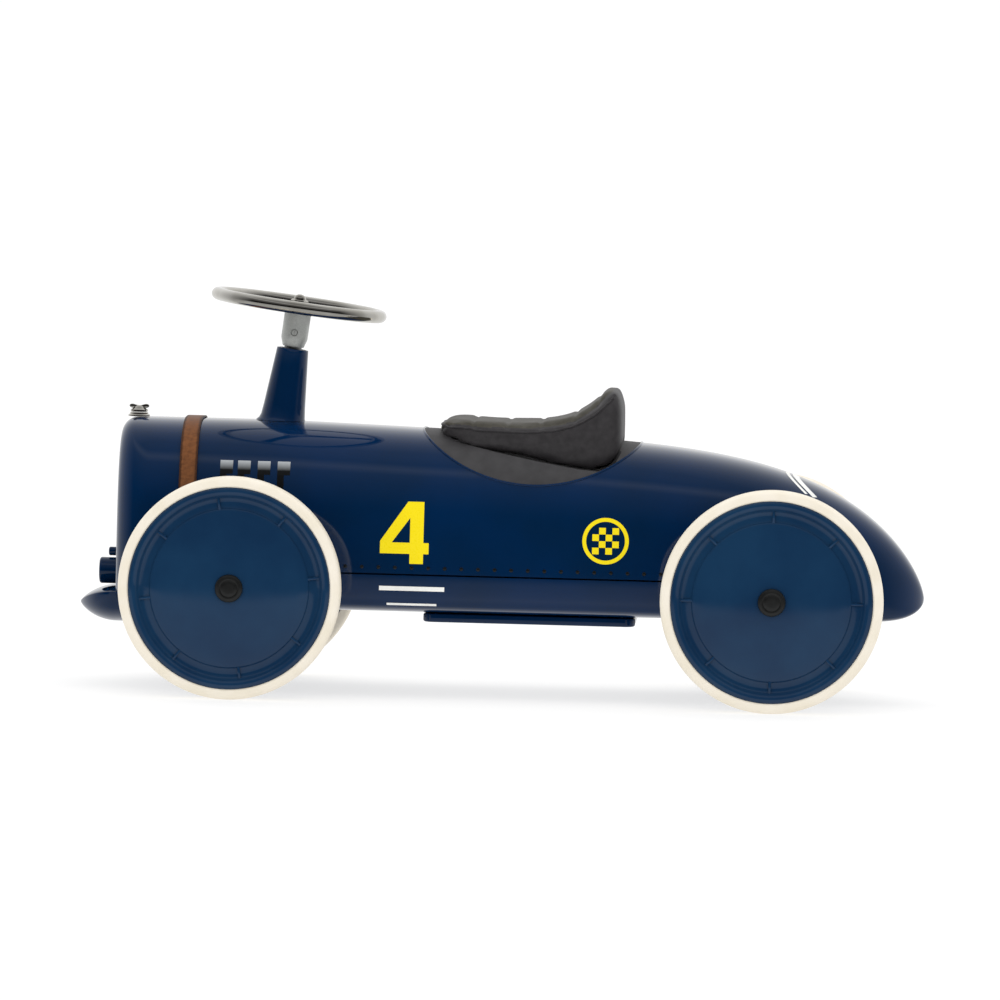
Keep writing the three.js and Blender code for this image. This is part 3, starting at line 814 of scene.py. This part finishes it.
SEAT_SKIRT = 53                   # the seat's padding hangs lower outside its board
SEAT_UNDER = [(-62, 243), (-48, 234), (-7, 225), (30, 218), (67, 212), (84, 210.5), (92, 213), (98, 218.5),
              (102.5, 227), (104.5, 240)]

def seat_room(grow, low=-WIDE, high=WIDE):
    """Everything above the seat's underside and in front of its back, grown downwards and rearwards."""
    under = [(x + (grow if x > 90 else 0) - (grow if x < -50 else 0), z - grow) for x, z in SEAT_UNDER]
    outline = [*under, (104.5 + grow, 330), (-62 - grow, 330)]
    return flat_shape([(x, low, z) for x, z in outline], high - low, (0, 1, 0))


def liner():
    """Moulded cockpit liner, flush with the body, hollow behind and shaped to carry the seat."""
    moulding = copied(FORM, "liner")
    cut(moulding, across_cockpit(-0.9), "INTERSECT")
    flange = body_form(-1.6)
    cut(flange, across_cockpit(4), "INTERSECT")
    cut(moulding, flange, "UNION")
    cut(moulding, seat_room(0.6))
    for low, high in ((-WIDE, -SEAT_SKIRT), (SEAT_SKIRT, WIDE)):
        cut(moulding, seat_room(2, low, high))
    hollow = body_form(-3.4)
    cut(hollow, seat_room(6.6))
    cut(moulding, hollow)
    tidy_mesh(moulding, 0.002)
    return moulding


part(liner(), "cockpit_moulding", "chassis", LINER_ABS, "grey_plastic", ["cockpit_liner"], 30)


# ---- seat --------

SEAT_HALF = 65


def at(line, x):
    """Height of a line of (x, z) points at x."""
    for (x0, z0), (x1, z1) in zip(line, line[1:]):
        if x0 <= x <= x1:
            return z0 + (z1 - z0) * (x - x0) / (x1 - x0)
    return line[0][1] if x < line[0][0] else line[-1][1]


SEAT_LOW = through([(-62, 240), (-58, 234), (-52, 232.5), (-44, 232), (-7, 226), (30, 219), (67, 213),
                    (84, 212), (96, 215)], 8)
SEAT_HIGH = through([(-62, 240), (-59, 246), (-56, 248.8), (-51, 250.6), (-41, 251.4), (-30, 250.4),
                     (-10, 249.6), (15, 249.5), (31, 250.4), (46, 252.8), (61, 257), (73, 264),
                     (82, 271.4), (90, 280.4), (97, 285.5)], 8)


def seat_half_width(x):
    """Half of the seat's width in plan: rounded at the front and at the corners of its back."""
    t = min(max((x + 63) / 36, 0), 1)
    front = 26 + (SEAT_HALF - 26) * (1 - (1 - t) ** 2.2) ** 0.5
    return front - corner_inset(13, 104 - x)


def seat_pad():
    """Padded seat: a rounded form, a little smaller than the cover that its foam fills."""
    turns = [2 * math.pi * i / 72 for i in range(72)]
    section = [(math.copysign(abs(math.cos(a)) ** (2 / 7), math.cos(a)),
                math.copysign(abs(math.sin(a)) ** (2 / 5), math.sin(a))) for a in turns]
    stations = []
    for x in (-61.5, -61, -60, -58, -55, -51, -45, -38, -28, -14, 0, 14, 28, 42, 56, 68, 78, 86, 92, 97,
              100, 102, 103):
        low = at(SEAT_LOW, min(x, 96)) + max(x - 92, 0) ** 2 * 0.05
        high = at(SEAT_HIGH, min(x, 97)) - 1.8 - max(x - 96, 0) ** 2 * 0.3
        nose = math.sqrt(max(1 - max(-51 - x, 0) ** 2 / 121, 0.02))
        low, high = (229.5 + 21.5 * (1 - nose) / 2, 229.5 + 21.5 * (1 + nose) / 2) if x < -51 else (low, high)
        stations.append((x, (low + high) / 2, seat_half_width(x) - 1.5, (high - low) / 2))
    pad = swept(section, stations, "seat_pad")
    for vertex in pad.data.vertices:
        outside = min(max((abs(vertex.co.y) / MM - SEAT_SKIRT) / 4, 0), 1)
        below = vertex.co.z < (at(SEAT_LOW, vertex.co.x / MM) + 6) * MM
        vertex.co.z -= 4.2 * outside * below * MM
    return pad


def inflate(pad, reach):
    """Swells a pad with the cloth solver and keeps each point within a reach of where it was."""
    modify(pad, "REMESH", mode="VOXEL", voxel_size=4 * MM)
    before = [v.co.copy() for v in pad.data.vertices]
    hold(pad)
    cloth = pad.modifiers.new("cloth", "CLOTH")
    cloth.settings.use_pressure = True
    cloth.settings.uniform_pressure_force = 4
    cloth.settings.effector_weights.gravity = 0
    cloth.settings.tension_stiffness = cloth.settings.compression_stiffness = 25
    for frame_number in range(1, 21):
        bpy.context.scene.frame_set(frame_number)
    bpy.ops.object.modifier_apply(modifier=cloth.name)
    bpy.context.scene.frame_set(1)
    for vertex, start in zip(pad.data.vertices, before):
        move = vertex.co - start
        if move.length > reach * MM:
            vertex.co = start + move.normalized() * reach * MM


PANEL_SEAMS = (-30, 1, 31, 62, 83)   # where the top panel is sewn across
PANEL_DROP = 4.4                      # depth of the quilted panel's side below the crown


def groove(distance, width):
    """A sewn channel's profile: deepest at the seam, gone a width away."""
    return math.exp(-(distance / width) ** 2)


def sew(pad):
    """Sinks the cross seams and the line under the top panel into the blown-up pad."""
    for vertex in pad.data.vertices:
        x, y, z = vertex.co / MM
        crown = at(SEAT_HIGH, min(max(x, -62), 97))
        below = crown - z
        if below < PANEL_DROP + 4 and x < 96:
            depth = sum(1.5 * groove(x - seam, 2.0) for seam in PANEL_SEAMS)
            billow = 0.35 * math.sin(y / 17) * math.sin(x / 9)
            vertex.co.z += (billow - depth) * MM * min(max(1 - below / (PANEL_DROP + 4), 0) * 1.6, 1)
        side = 1.3 * groove(below - PANEL_DROP, 1.5)
        if 2 < below < 20 and side > 0.02:
            edge = math.hypot(y, 0.001)
            vertex.co.y -= math.copysign(side * MM * (edge > 30), y)
            if x < -50:
                vertex.co.x += side * MM


def seat():
    pad = seat_pad()
    inflate(pad, 2.5)
    modify(pad, "SUBSURF", levels=1, render_levels=1)
    sew(pad)
    return pad


SEAT = part(seat(), "seat_padding", "chassis", SEAT_SIDE, "black_leather", ["seat_cushion"], 180)
# The top panel's faces take the lighter quilted finish, whose lightness is partly painted light from above.
SEAT.data.materials.append(SEAT_TOP)
for face in SEAT.data.polygons:
    crown = at(SEAT_HIGH, min(max(face.center.x / MM, -62), 97))
    if crown - face.center.z / MM < PANEL_DROP and face.center.x / MM < 99:
        face.material_index = 1


def piping():
    """Corded piping sewn round the lower edge of the quilted panel."""
    xs = [98, 90, 80, 68, 54, 38, 20, 0, -20, -36, -46, -53]
    side = [(x, seat_half_width(x) + 1, at(SEAT_HIGH, x) - PANEL_DROP - 0.4) for x in xs]
    nose = [(-58.6, 36, 245.6), (-59.4, 18, 246.4), (-59.6, 0, 246.6), (-59.4, -18, 246.4), (-58.6, -36, 245.6)]
    cord = drawn(through([*side, *nose, *[(x, -y, z) for x, y, z in side[::-1]]], 4))
    modify(cord, "SHRINKWRAP", target=SEAT, wrap_method="NEAREST_SURFACEPOINT", wrap_mode="ABOVE_SURFACE",
           offset=0.3 * MM)
    return corded(cord, 0.95)


part(piping(), "seat_piping", "chassis", SEAT_SIDE, "black_leather")


# ---- steering --------

def on_column(shape):
    """Moves a piece made about an upright column onto the raked one."""
    shape.data.transform(RAKED)
    return shape


def rim():
    clear()
    bpy.ops.mesh.primitive_torus_add(major_segments=160, minor_segments=32, major_radius=RIM_R * MM,
                                     minor_radius=RIM_TUBE * MM, location=(0, 0, RIM_HEIGHT * MM))
    ring = settle(bpy.context.object, "rim")
    for vertex in ring.data.vertices:
        vertex.co.z = (RIM_HEIGHT + (vertex.co.z / MM - RIM_HEIGHT) * 0.92) * MM
    return on_column(ring)


def spider():
    """Pressed three-spoke spider: each spoke is ribbed down the middle and waisted, on a round hub."""
    hub = turned([(4.4, 240), (12.6, 240), (13.2, 240.8), (13.2, 246), (12.2, 247.4), (10, 248.2),
                  (4.4, 248.2)])
    pieces = [hub]
    for k in range(3):
        outline = [(9, -8), (26, -6.2), (46, -5.6), (62, -6.6), (RIM_R - 4, -8), (RIM_R - 4, 8), (62, 6.6),
                   (46, 5.6), (26, 6.2), (9, 8)]
        spoke = flat_shape([(x, y, RIM_HEIGHT - 2.9) for x, y in outline], 2.6, (0, 0, 1))
        rib = flat_shape([(x, y, RIM_HEIGHT - 1) for x, y in
                          [(11, -1.8), (RIM_R - 9, -1.8), (RIM_R - 9, 1.8), (11, 1.8)]], 1.8, (0, 0, 1))
        for shape in (spoke, rib):
            rounded(shape, 0.6, 3, 40)
            shape.data.transform(Matrix.Rotation(2 * math.pi * k / 3, 4, "Z"))
            pieces.append(shape)
    return on_column(joined(pieces, "spider"))


def dome_nut():
    """Hexagon nut under a domed cap."""
    body = turned([(0, 248.4), (8, 248.4), (8.2, 248.8), (8.2, 250.8), (7.2, 251.6), (0, 251.6)], steps=6,
                  closed=False)
    rounded(body, 0.4, 2, 25)
    cap = turned([(0, 251), (5.6, 251), (5.6, 252.4), (5.2, 253.8), (3.9, 255.4), (2.1, 256.3), (0, 256.6)],
                 closed=False)
    return on_column(joined([body, cap], "dome_nut"))


def sleeve():
    """Cast ferrule under the steering wheel: straight above, drawn in towards the pedestal."""
    profile = [(8.3, 209), (9.5, 208.5), (9.9, 209.2), (12, 215.6), (12.1, 217), (12.1, 238.6), (11.4, 239.6),
               (4, 239.6), (4, 238), (8.3, 238)]
    ferrule = turned(profile)
    hole = drum(3.2, 10, (0, -14, 221.5), "Y", 32)
    cut(ferrule, hole)
    return on_column(ferrule)


def sleeve_screw():
    """Pan head with a cross recess, sunk a little into the ferrule."""
    head = turned([(0, 0), (2.5, 0), (2.6, -0.5), (2.3, -1.2), (1.4, -1.6), (0, -1.7)], (0, -11, 221.5),
                  "Y", 32, closed=False)
    for size in ((1.7, 0.35), (0.35, 1.7)):
        cut(head, slab((-size[0], -13.2, 221.5 - size[1]), (size[0], -12.0, 221.5 + size[1])))
    return on_column(head)


def pedestal():
    """Tapered steering post, flared where it is welded to the bonnet, with an open mouth."""
    profile = [(12.2, 206), (12.6, 206.5), (14, 206.5), (14.4, 206), (15.8, 190), (17.4, 172), (19, 154),
               (20.2, 144), (21.6, 140.6), (23.6, 138.6), (24, 137), (24, 130), (18, 130), (12.6, 186),
               (12.2, 187)]
    post = on_column(turned(profile))
    cut(post, body_form(0.3))
    tidy_mesh(post, 0.002)
    return post


part(rim(), "steering_rim", "steering", CHROME, "chrome", ["steering_wheel_rim"])
part(spider(), "steering_spider", "steering", CHROME, "chrome", ["steering_wheel_spider"])
part(dome_nut(), "steering_nut", "steering", CHROME, "chrome", ["steering_wheel_nut"])
part(sleeve(), "steering_ferrule", "steering", CASTING, "satin_metal", ["hub_sleeve"])
part(sleeve_screw(), "ferrule_screw", "steering", CASTING, "chrome", ["sleeve_screw"])
part(pedestal(), "steering_post", "chassis", ENAMEL, "gloss_navy_paint", ["steering_pedestal"], 40)


# ---- wheels --------

TYRE = [(86.5, 10.5), (90.6, 10.9), (91.1, 12.6), (91.9, 13.4), (95, 13.55), (97.4, 13.1), (99, 11.7),
        (99.9, 9), (100, 6), (100, -6), (99.9, -9), (99, -11.7), (97.4, -13.1), (95, -13.55), (91.9, -13.4),
        (91.1, -12.6), (90.6, -10.9), (86.5, -10.5)]
DISC = [(9.2, 8.6), (9.2, 10.2), (9.6, 10.8), (20, 10.75), (34, 10.5), (48, 10.1), (60, 9.5), (69.6, 8.9),
        (70.8, 8.6), (71.4, 8.1), (71.7, 7.5), (72.3, 7.1), (79, 7), (80.4, 7.3), (81.4, 8.2), (82.2, 9.6),
        (83.2, 11.2), (84.6, 12.4), (86.4, 12.9), (88.2, 12.7), (89.8, 12), (91, 10.9), (84.6, 10.9),
        (82, 5.2), (70.5, 5.2), (68.5, 7.2)]
BACK = [(9.2, -13), (9.2, -10.9), (83.8, -10.9), (83.8, 8.5), (86.2, 10.5), (86.2, -10.9), (91, -10.9),
        (91, -12.6), (90.6, -13), (78, -13), (76, -11.9), (30, -11.9), (28, -13)]
HUB_CAP = [(0, 14), (4.8, 14), (4.8, 11), (12.2, 11), (12.5, 11.4), (12.5, 12.8), (12, 13.8), (11, 14.6),
           (9.6, 15.1), (8.3, 15.2), (7.7, 14.9), (7.2, 15.3), (6.4, 15.8), (4, 16), (0, 16)]
RIBS = 8


def wheel_disc():
    """Moulded wheel face: a domed centre, a recessed ring crossed by short ribs, and a rolled flange."""
    disc = turned(DISC, axis="Y", steps=128)
    pieces = [disc]
    for k in range(RIBS):
        rib = slab((71, 6.4, -1.2), (81.8, 8.8, 1.2))
        rounded(rib, 0.5, 2)
        rib.data.transform(Matrix.Rotation(-2 * math.pi * k / RIBS, 4, "Y"))
        pieces.append(rib)
    return joined(pieces, "wheel_disc")


WHEEL_PARTS = (
    (lambda: turned(TYRE, axis="Y", steps=128), "tyre", RUBBER, "cream_rubber"),
    (wheel_disc, "wheel_disc", WHEEL_PLASTIC, "navy_plastic"),
    (lambda: turned(BACK, axis="Y", steps=128), "wheel_back", WHEEL_PLASTIC, "navy_plastic"),
    (lambda: turned(HUB_CAP, axis="Y", steps=64, closed=False), "hub_cap", BLACK_CAP, "black_plastic"),
)
FRONT_TURN = math.radians(8)      # the front pair has rolled a little further than the rear pair


def wheels():
    for make, kind, finish, slot in WHEEL_PARTS:
        master = make()
        for end in ENDS:
            for side, sign in SIDES.items():
                place = (Matrix.Translation(Vector((AXLE_X[end], sign * WHEEL_Y, AXLE_Z)) * MM)
                         @ Matrix.Rotation(0 if sign > 0 else math.pi, 4, "Z")
                         @ Matrix.Rotation(FRONT_TURN if end == "front" else 0, 4, "Y"))
                body = f"wheel_{end}_{side}"
                if kind == "hub_cap":
                    body = "steering" if end == "front" else "chassis"
                twin = copied(master, f"{kind}_{end}_{side}_made", place)
                part(twin, f"{kind}_made_{end}_{side}", body, finish, slot, [f"{kind}_{end}_{side}"])
        bpy.data.objects.remove(master)


wheels()


# ---- printed and riveted details on the flanks --------

BESIDE = 120                     # prints are drawn this far out, then pressed onto the flank


def laid_on_flank(shape, lift=0.15):
    """Presses a flat shape, drawn beside the car, onto the flank, with one face a hair proud."""
    edit(shape, "FACE")
    bpy.ops.mesh.select_all(action="SELECT")
    bpy.ops.mesh.quads_convert_to_tris()
    clear()
    modify(shape, "SHRINKWRAP", target=FORM, wrap_method="PROJECT", use_project_y=True,
           use_negative_direction=True, use_positive_direction=True, offset=lift * MM)
    return shape


def both_sides(shape, name, finish):
    """Keeps a flank detail on the left and puts its copy on the right, both riding on the body."""
    shape.data.materials.clear()
    twin = copied(shape, f"{name}_right", MIRROR_Y)
    for piece, side in ((shape, "left"), (twin, "right")):
        part(piece, f"{name}_{side}", "chassis", finish, "gloss_navy_paint")


def gridded(outline, step=4.0, holes=()):
    """A flat outline beside the left flank, cut into small squares so that it can bend."""
    xs, zs = [p[0] for p in outline], [p[1] for p in outline]
    clear()
    sheet = flat_shape([(x, -BESIDE, z) for x, z in outline], 4, (0, 1, 0))
    for inner in holes:
        cut(sheet, flat_shape([(x, -BESIDE - 4, z) for x, z in inner], 12, (0, 1, 0)))
    edit(sheet, "FACE")
    pick(sheet, lambda f: f.normal.y > -0.9)
    bpy.ops.mesh.delete(type="FACE")
    for low, high, normal, index in ((min(xs), max(xs), (1, 0, 0), 0), (min(zs), max(zs), (0, 0, 1), 2)):
        for k in range(1, int((high - low) / step) + 1):
            place = Vector((0, -BESIDE, 0))
            place[index] = low + k * step
            if place[index] < high - 0.2:
                bpy.ops.mesh.select_all(action="SELECT")
                bpy.ops.mesh.bisect(plane_co=place * MM, plane_no=normal)
    clear()
    return sheet


def decal(name, finish, *shapes, lift=0.15):
    """One print made of several outlines, each with its holes, laid on both flanks."""
    sheets = [laid_on_flank(gridded(outline, holes=holes), lift) for outline, holes in shapes]
    print_sheet = joined(sheets, name)
    modify(print_sheet, "SOLIDIFY", thickness=0.12 * MM, offset=-1)
    both_sides(print_sheet, name, finish)


def number_four(x, z, width, height):
    """Outline of a plain block 4, with its counter as a hole."""
    stem_left, stem_right = x + width * 0.61, x + width * 0.89
    bar_low, bar_high = z + height * 0.16, z + height * 0.34
    outer = [(x, bar_low), (stem_left, bar_low), (stem_left, z), (stem_right, z), (stem_right, bar_low),
             (x + width, bar_low), (x + width, bar_high), (stem_right, bar_high), (stem_right, z + height),
             (x + width * 0.56, z + height), (x, bar_high + height * 0.02)]
    hole = [(x + width * 0.24, bar_high), (stem_left, bar_high), (stem_left, z + height * 0.74)]
    return outer, [hole]


def circle(x, z, r, count=64):
    return [(x + r * math.cos(2 * math.pi * k / count), z + r * math.sin(2 * math.pi * k / count))
            for k in range(count)]


def rectangle(x0, x1, z0, z1):
    return [(x0, z0), (x1, z0), (x1, z1), (x0, z1)]


NUMBER_X, NUMBER_Z = -110, 122
BADGE_X, BADGE_Z, BADGE_R = 93.5, 147, 21
LOUVRES = (-257, -241, -223, -205)    # front edge of each
CHECK = 6                             # side of a chequer on the badge


def flank_graphics():
    decal("race_number", YELLOW_INK, number_four(NUMBER_X, NUMBER_Z, 44, 56))
    ring = (circle(BADGE_X, BADGE_Z, BADGE_R), [circle(BADGE_X, BADGE_Z, BADGE_R - 3.5)])
    checks = [(rectangle(x, x + CHECK, z, z + CHECK), ())
              for row in range(-2, 2) for column in range(-2, 2) if (row + column) % 2 == 0
              for x, z in [(BADGE_X + column * CHECK, BADGE_Z + row * CHECK)]]
    decal("flank_badge", YELLOW_INK, ring, *checks)
    decal("pinstripes", WHITE_INK, (rectangle(-110, -51, 97.5, 101.5), ()), (rectangle(-103, -58, 84, 86), ()))
    bars = [(rectangle(x, x + 11.5, LOUVRE_TOP - 12, LOUVRE_TOP), ()) for x in LOUVRES]
    stems = [(rectangle(x, x + 6, LOUVRE_TOP - 34, LOUVRE_TOP - 12), ()) for x in LOUVRES]
    decal("printed_louvres", LOUVRE, *bars, *stems)


flank_graphics()


def rivets():
    """One domed rivet, copied along the seam on both sides."""
    heads = []
    for k in range(20):
        x = -141 + 15 * k
        for sign in SIDES.values():
            z = SEAM_HIGH + 5.6
            out = side_at(x, z)
            clear()
            bpy.ops.mesh.primitive_uv_sphere_add(segments=12, ring_count=8, radius=1.75 * MM,
                                                 location=Vector((x, sign * out, z)) * MM)
            head = bpy.context.object
            head.scale = (1, 0.45, 1)
            heads.append(settle(head, "head"))
    return joined(heads, "rivets")


part(rivets(), "seam_rivets", "chassis", RIVET_INK, "gloss_navy_paint")


def tail_stripe(x, z, width):
    """White stripe taped over the tail: the body's skin between two sloping planes."""
    band = body_form(0.12)
    tool = slab((-200, -WIDE, -width / 2), (200, WIDE, width / 2))
    tool.data.transform(Matrix.Translation(Vector((x, 0, z)) * MM) @ Matrix.Rotation(math.radians(43), 4, "Y"))
    cut(band, tool, "INTERSECT")
    cut(band, body_form(0.02))
    cut(band, slab((x - 300, -WIDE, 0), (x + 300, WIDE, z - 16)))
    tidy_mesh(band, 0.001)
    return band


part(joined([tail_stripe(264, 205, 2.6), tail_stripe(256, 208, 1.6)], "stripes"), "tail_stripes", "chassis",
     WHITE_INK, "gloss_navy_paint")


# ---- stage, light and camera --------

TENT_R = 5.0
TENT_GLOW = ((0.0, 0.4), (0.25, 0.55), (0.44, 0.4), (0.4695, 0.36), (0.4755, 0.012), (0.64, 0.012), (0.8, 0.12),
             (0.87, 0.2), (0.91, 0.5), (0.95, 0.2), (1.0, 0.3))       # from the nadir to the zenith


def paper():
    """White backlit paper: an even pale ground that still takes a soft shadow."""
    return new_finish("backlit_paper", {
        "Base Color": linear("#a0a0a0"), "Roughness": 0.9, "Specular IOR Level": 0.1,
        "Emission Color": (1, 1, 1, 1), "Emission Strength": 0.68})[0]


def tent_cloth():
    """Glow that only reflections see: white below and behind the car, dark towards the viewer."""
    cloth = bpy.data.materials.new("tent_cloth")
    cloth.use_nodes = True
    tree = cloth.node_tree
    tree.nodes.remove(tree.nodes["Principled BSDF"])
    place = node(tree, "ShaderNodeTexCoord").outputs["Object"]
    split = node(tree, "ShaderNodeSeparateXYZ", links={"Vector": place})
    height = node(tree, "ShaderNodeMapRange", {"From Min": -TENT_R, "From Max": TENT_R},
                  {"Value": split.outputs["Z"]})
    ramp = node(tree, "ShaderNodeValToRGB", links={"Fac": height.outputs["Result"]})
    stops = ramp.color_ramp.elements
    for at_height, glow in TENT_GLOW[1:-1]:
        stops.new(at_height).color = (glow, glow, glow, 1)
    stops[0].color = (TENT_GLOW[0][1],) * 3 + (1,)
    stops[-1].color = (TENT_GLOW[-1][1],) * 3 + (1,)
    behind = node(tree, "ShaderNodeMapRange",
                  {"From Min": -0.5 * TENT_R, "From Max": 0.8 * TENT_R, "To Max": 0.9},
                  {"Value": split.outputs["Y"]})
    most = node(tree, "ShaderNodeMath", {"operation": "MAXIMUM"},
                {0: ramp.outputs["Color"], 1: behind.outputs["Result"]})
    glow = node(tree, "ShaderNodeEmission", links={"Strength": most.outputs[0]})
    tree.links.new(glow.outputs[0], tree.nodes["Material Output"].inputs["Surface"])
    return cloth


def stage():
    clear()
    bpy.ops.mesh.primitive_plane_add(size=400)
    floor = bpy.context.object
    floor.name = "floor"
    floor.data.materials.append(paper())
    floor.visible_glossy = False
    bpy.ops.mesh.primitive_uv_sphere_add(segments=64, ring_count=32, radius=TENT_R)
    tent = bpy.context.object
    tent.name = "light_tent"
    tent.data.materials.append(tent_cloth())
    for ray in ("camera", "diffuse", "transmission", "volume_scatter", "shadow"):
        setattr(tent, f"visible_{ray}", False)


def softbox(name, place, target, size, power):
    lamp = bpy.data.lights.new(name, "AREA")
    lamp.shape = "RECTANGLE"
    lamp.size, lamp.size_y = size
    lamp.energy = power
    box = bpy.data.objects.new(name, lamp)
    bpy.context.collection.objects.link(box)
    box.location = place
    box.rotation_euler = (Vector(target) - Vector(place)).to_track_quat("-Z", "Y").to_euler()
    box.visible_glossy = False


def lighting():
    world = bpy.data.worlds.new("white_studio")
    world.use_nodes = True
    world.node_tree.nodes["Background"].inputs["Color"].default_value = (1, 1, 1, 1)
    world.node_tree.nodes["Background"].inputs["Strength"].default_value = 1.02
    bpy.context.scene.world = world
    softbox("overhead", (0.1, 0.15, 1.6), (0, 0, 0.1), (2.0, 1.4), 5)
    softbox("front_strip", (-0.1, -1.05, 0.75), (0, 0, 0.15), (1.5, 0.1), 0.7)


def camera():
    lens = bpy.data.cameras.new("camera")
    lens.lens = 316.193
    lens.sensor_width = 36
    lens.clip_end = 100
    eye = bpy.data.objects.new("camera", lens)
    bpy.context.collection.objects.link(eye)
    aim = (Matrix.Rotation(math.radians(2.2), 4, "Z") @ Matrix.Rotation(math.radians(86.85), 4, "X")
           @ Matrix.Rotation(math.radians(1.366), 4, "Z"))
    eye.matrix_world = Matrix.Translation((0.301, -8.0, 0.617)) @ aim
    bpy.context.scene.camera = eye
    bpy.context.scene.view_settings.view_transform = "Standard"


stage()
lighting()
camera()

# ---- CAD pieces that stay, and the end --------

SLOT_FINISH = {
    "gloss_navy_paint": ENAMEL, "navy_plastic": WHEEL_PLASTIC, "chrome": CHROME, "satin_metal": CASTING,
    "bare_steel": ZINC, "nylon": NATURAL_NYLON, "cream_rubber": RUBBER, "black_plastic": BLACK_CAP,
    "grey_plastic": LINER_ABS, "brown_leather": STRAP, "black_leather": SEAT_SIDE,
}
for entry in frame["record"]["subparts"]:
    kept = frame["nodes"][entry["node"]]
    kept.data.materials.clear()
    kept.data.materials.append(SLOT_FINISH[entry["material_slot"]])

bpy.data.objects.remove(FORM)
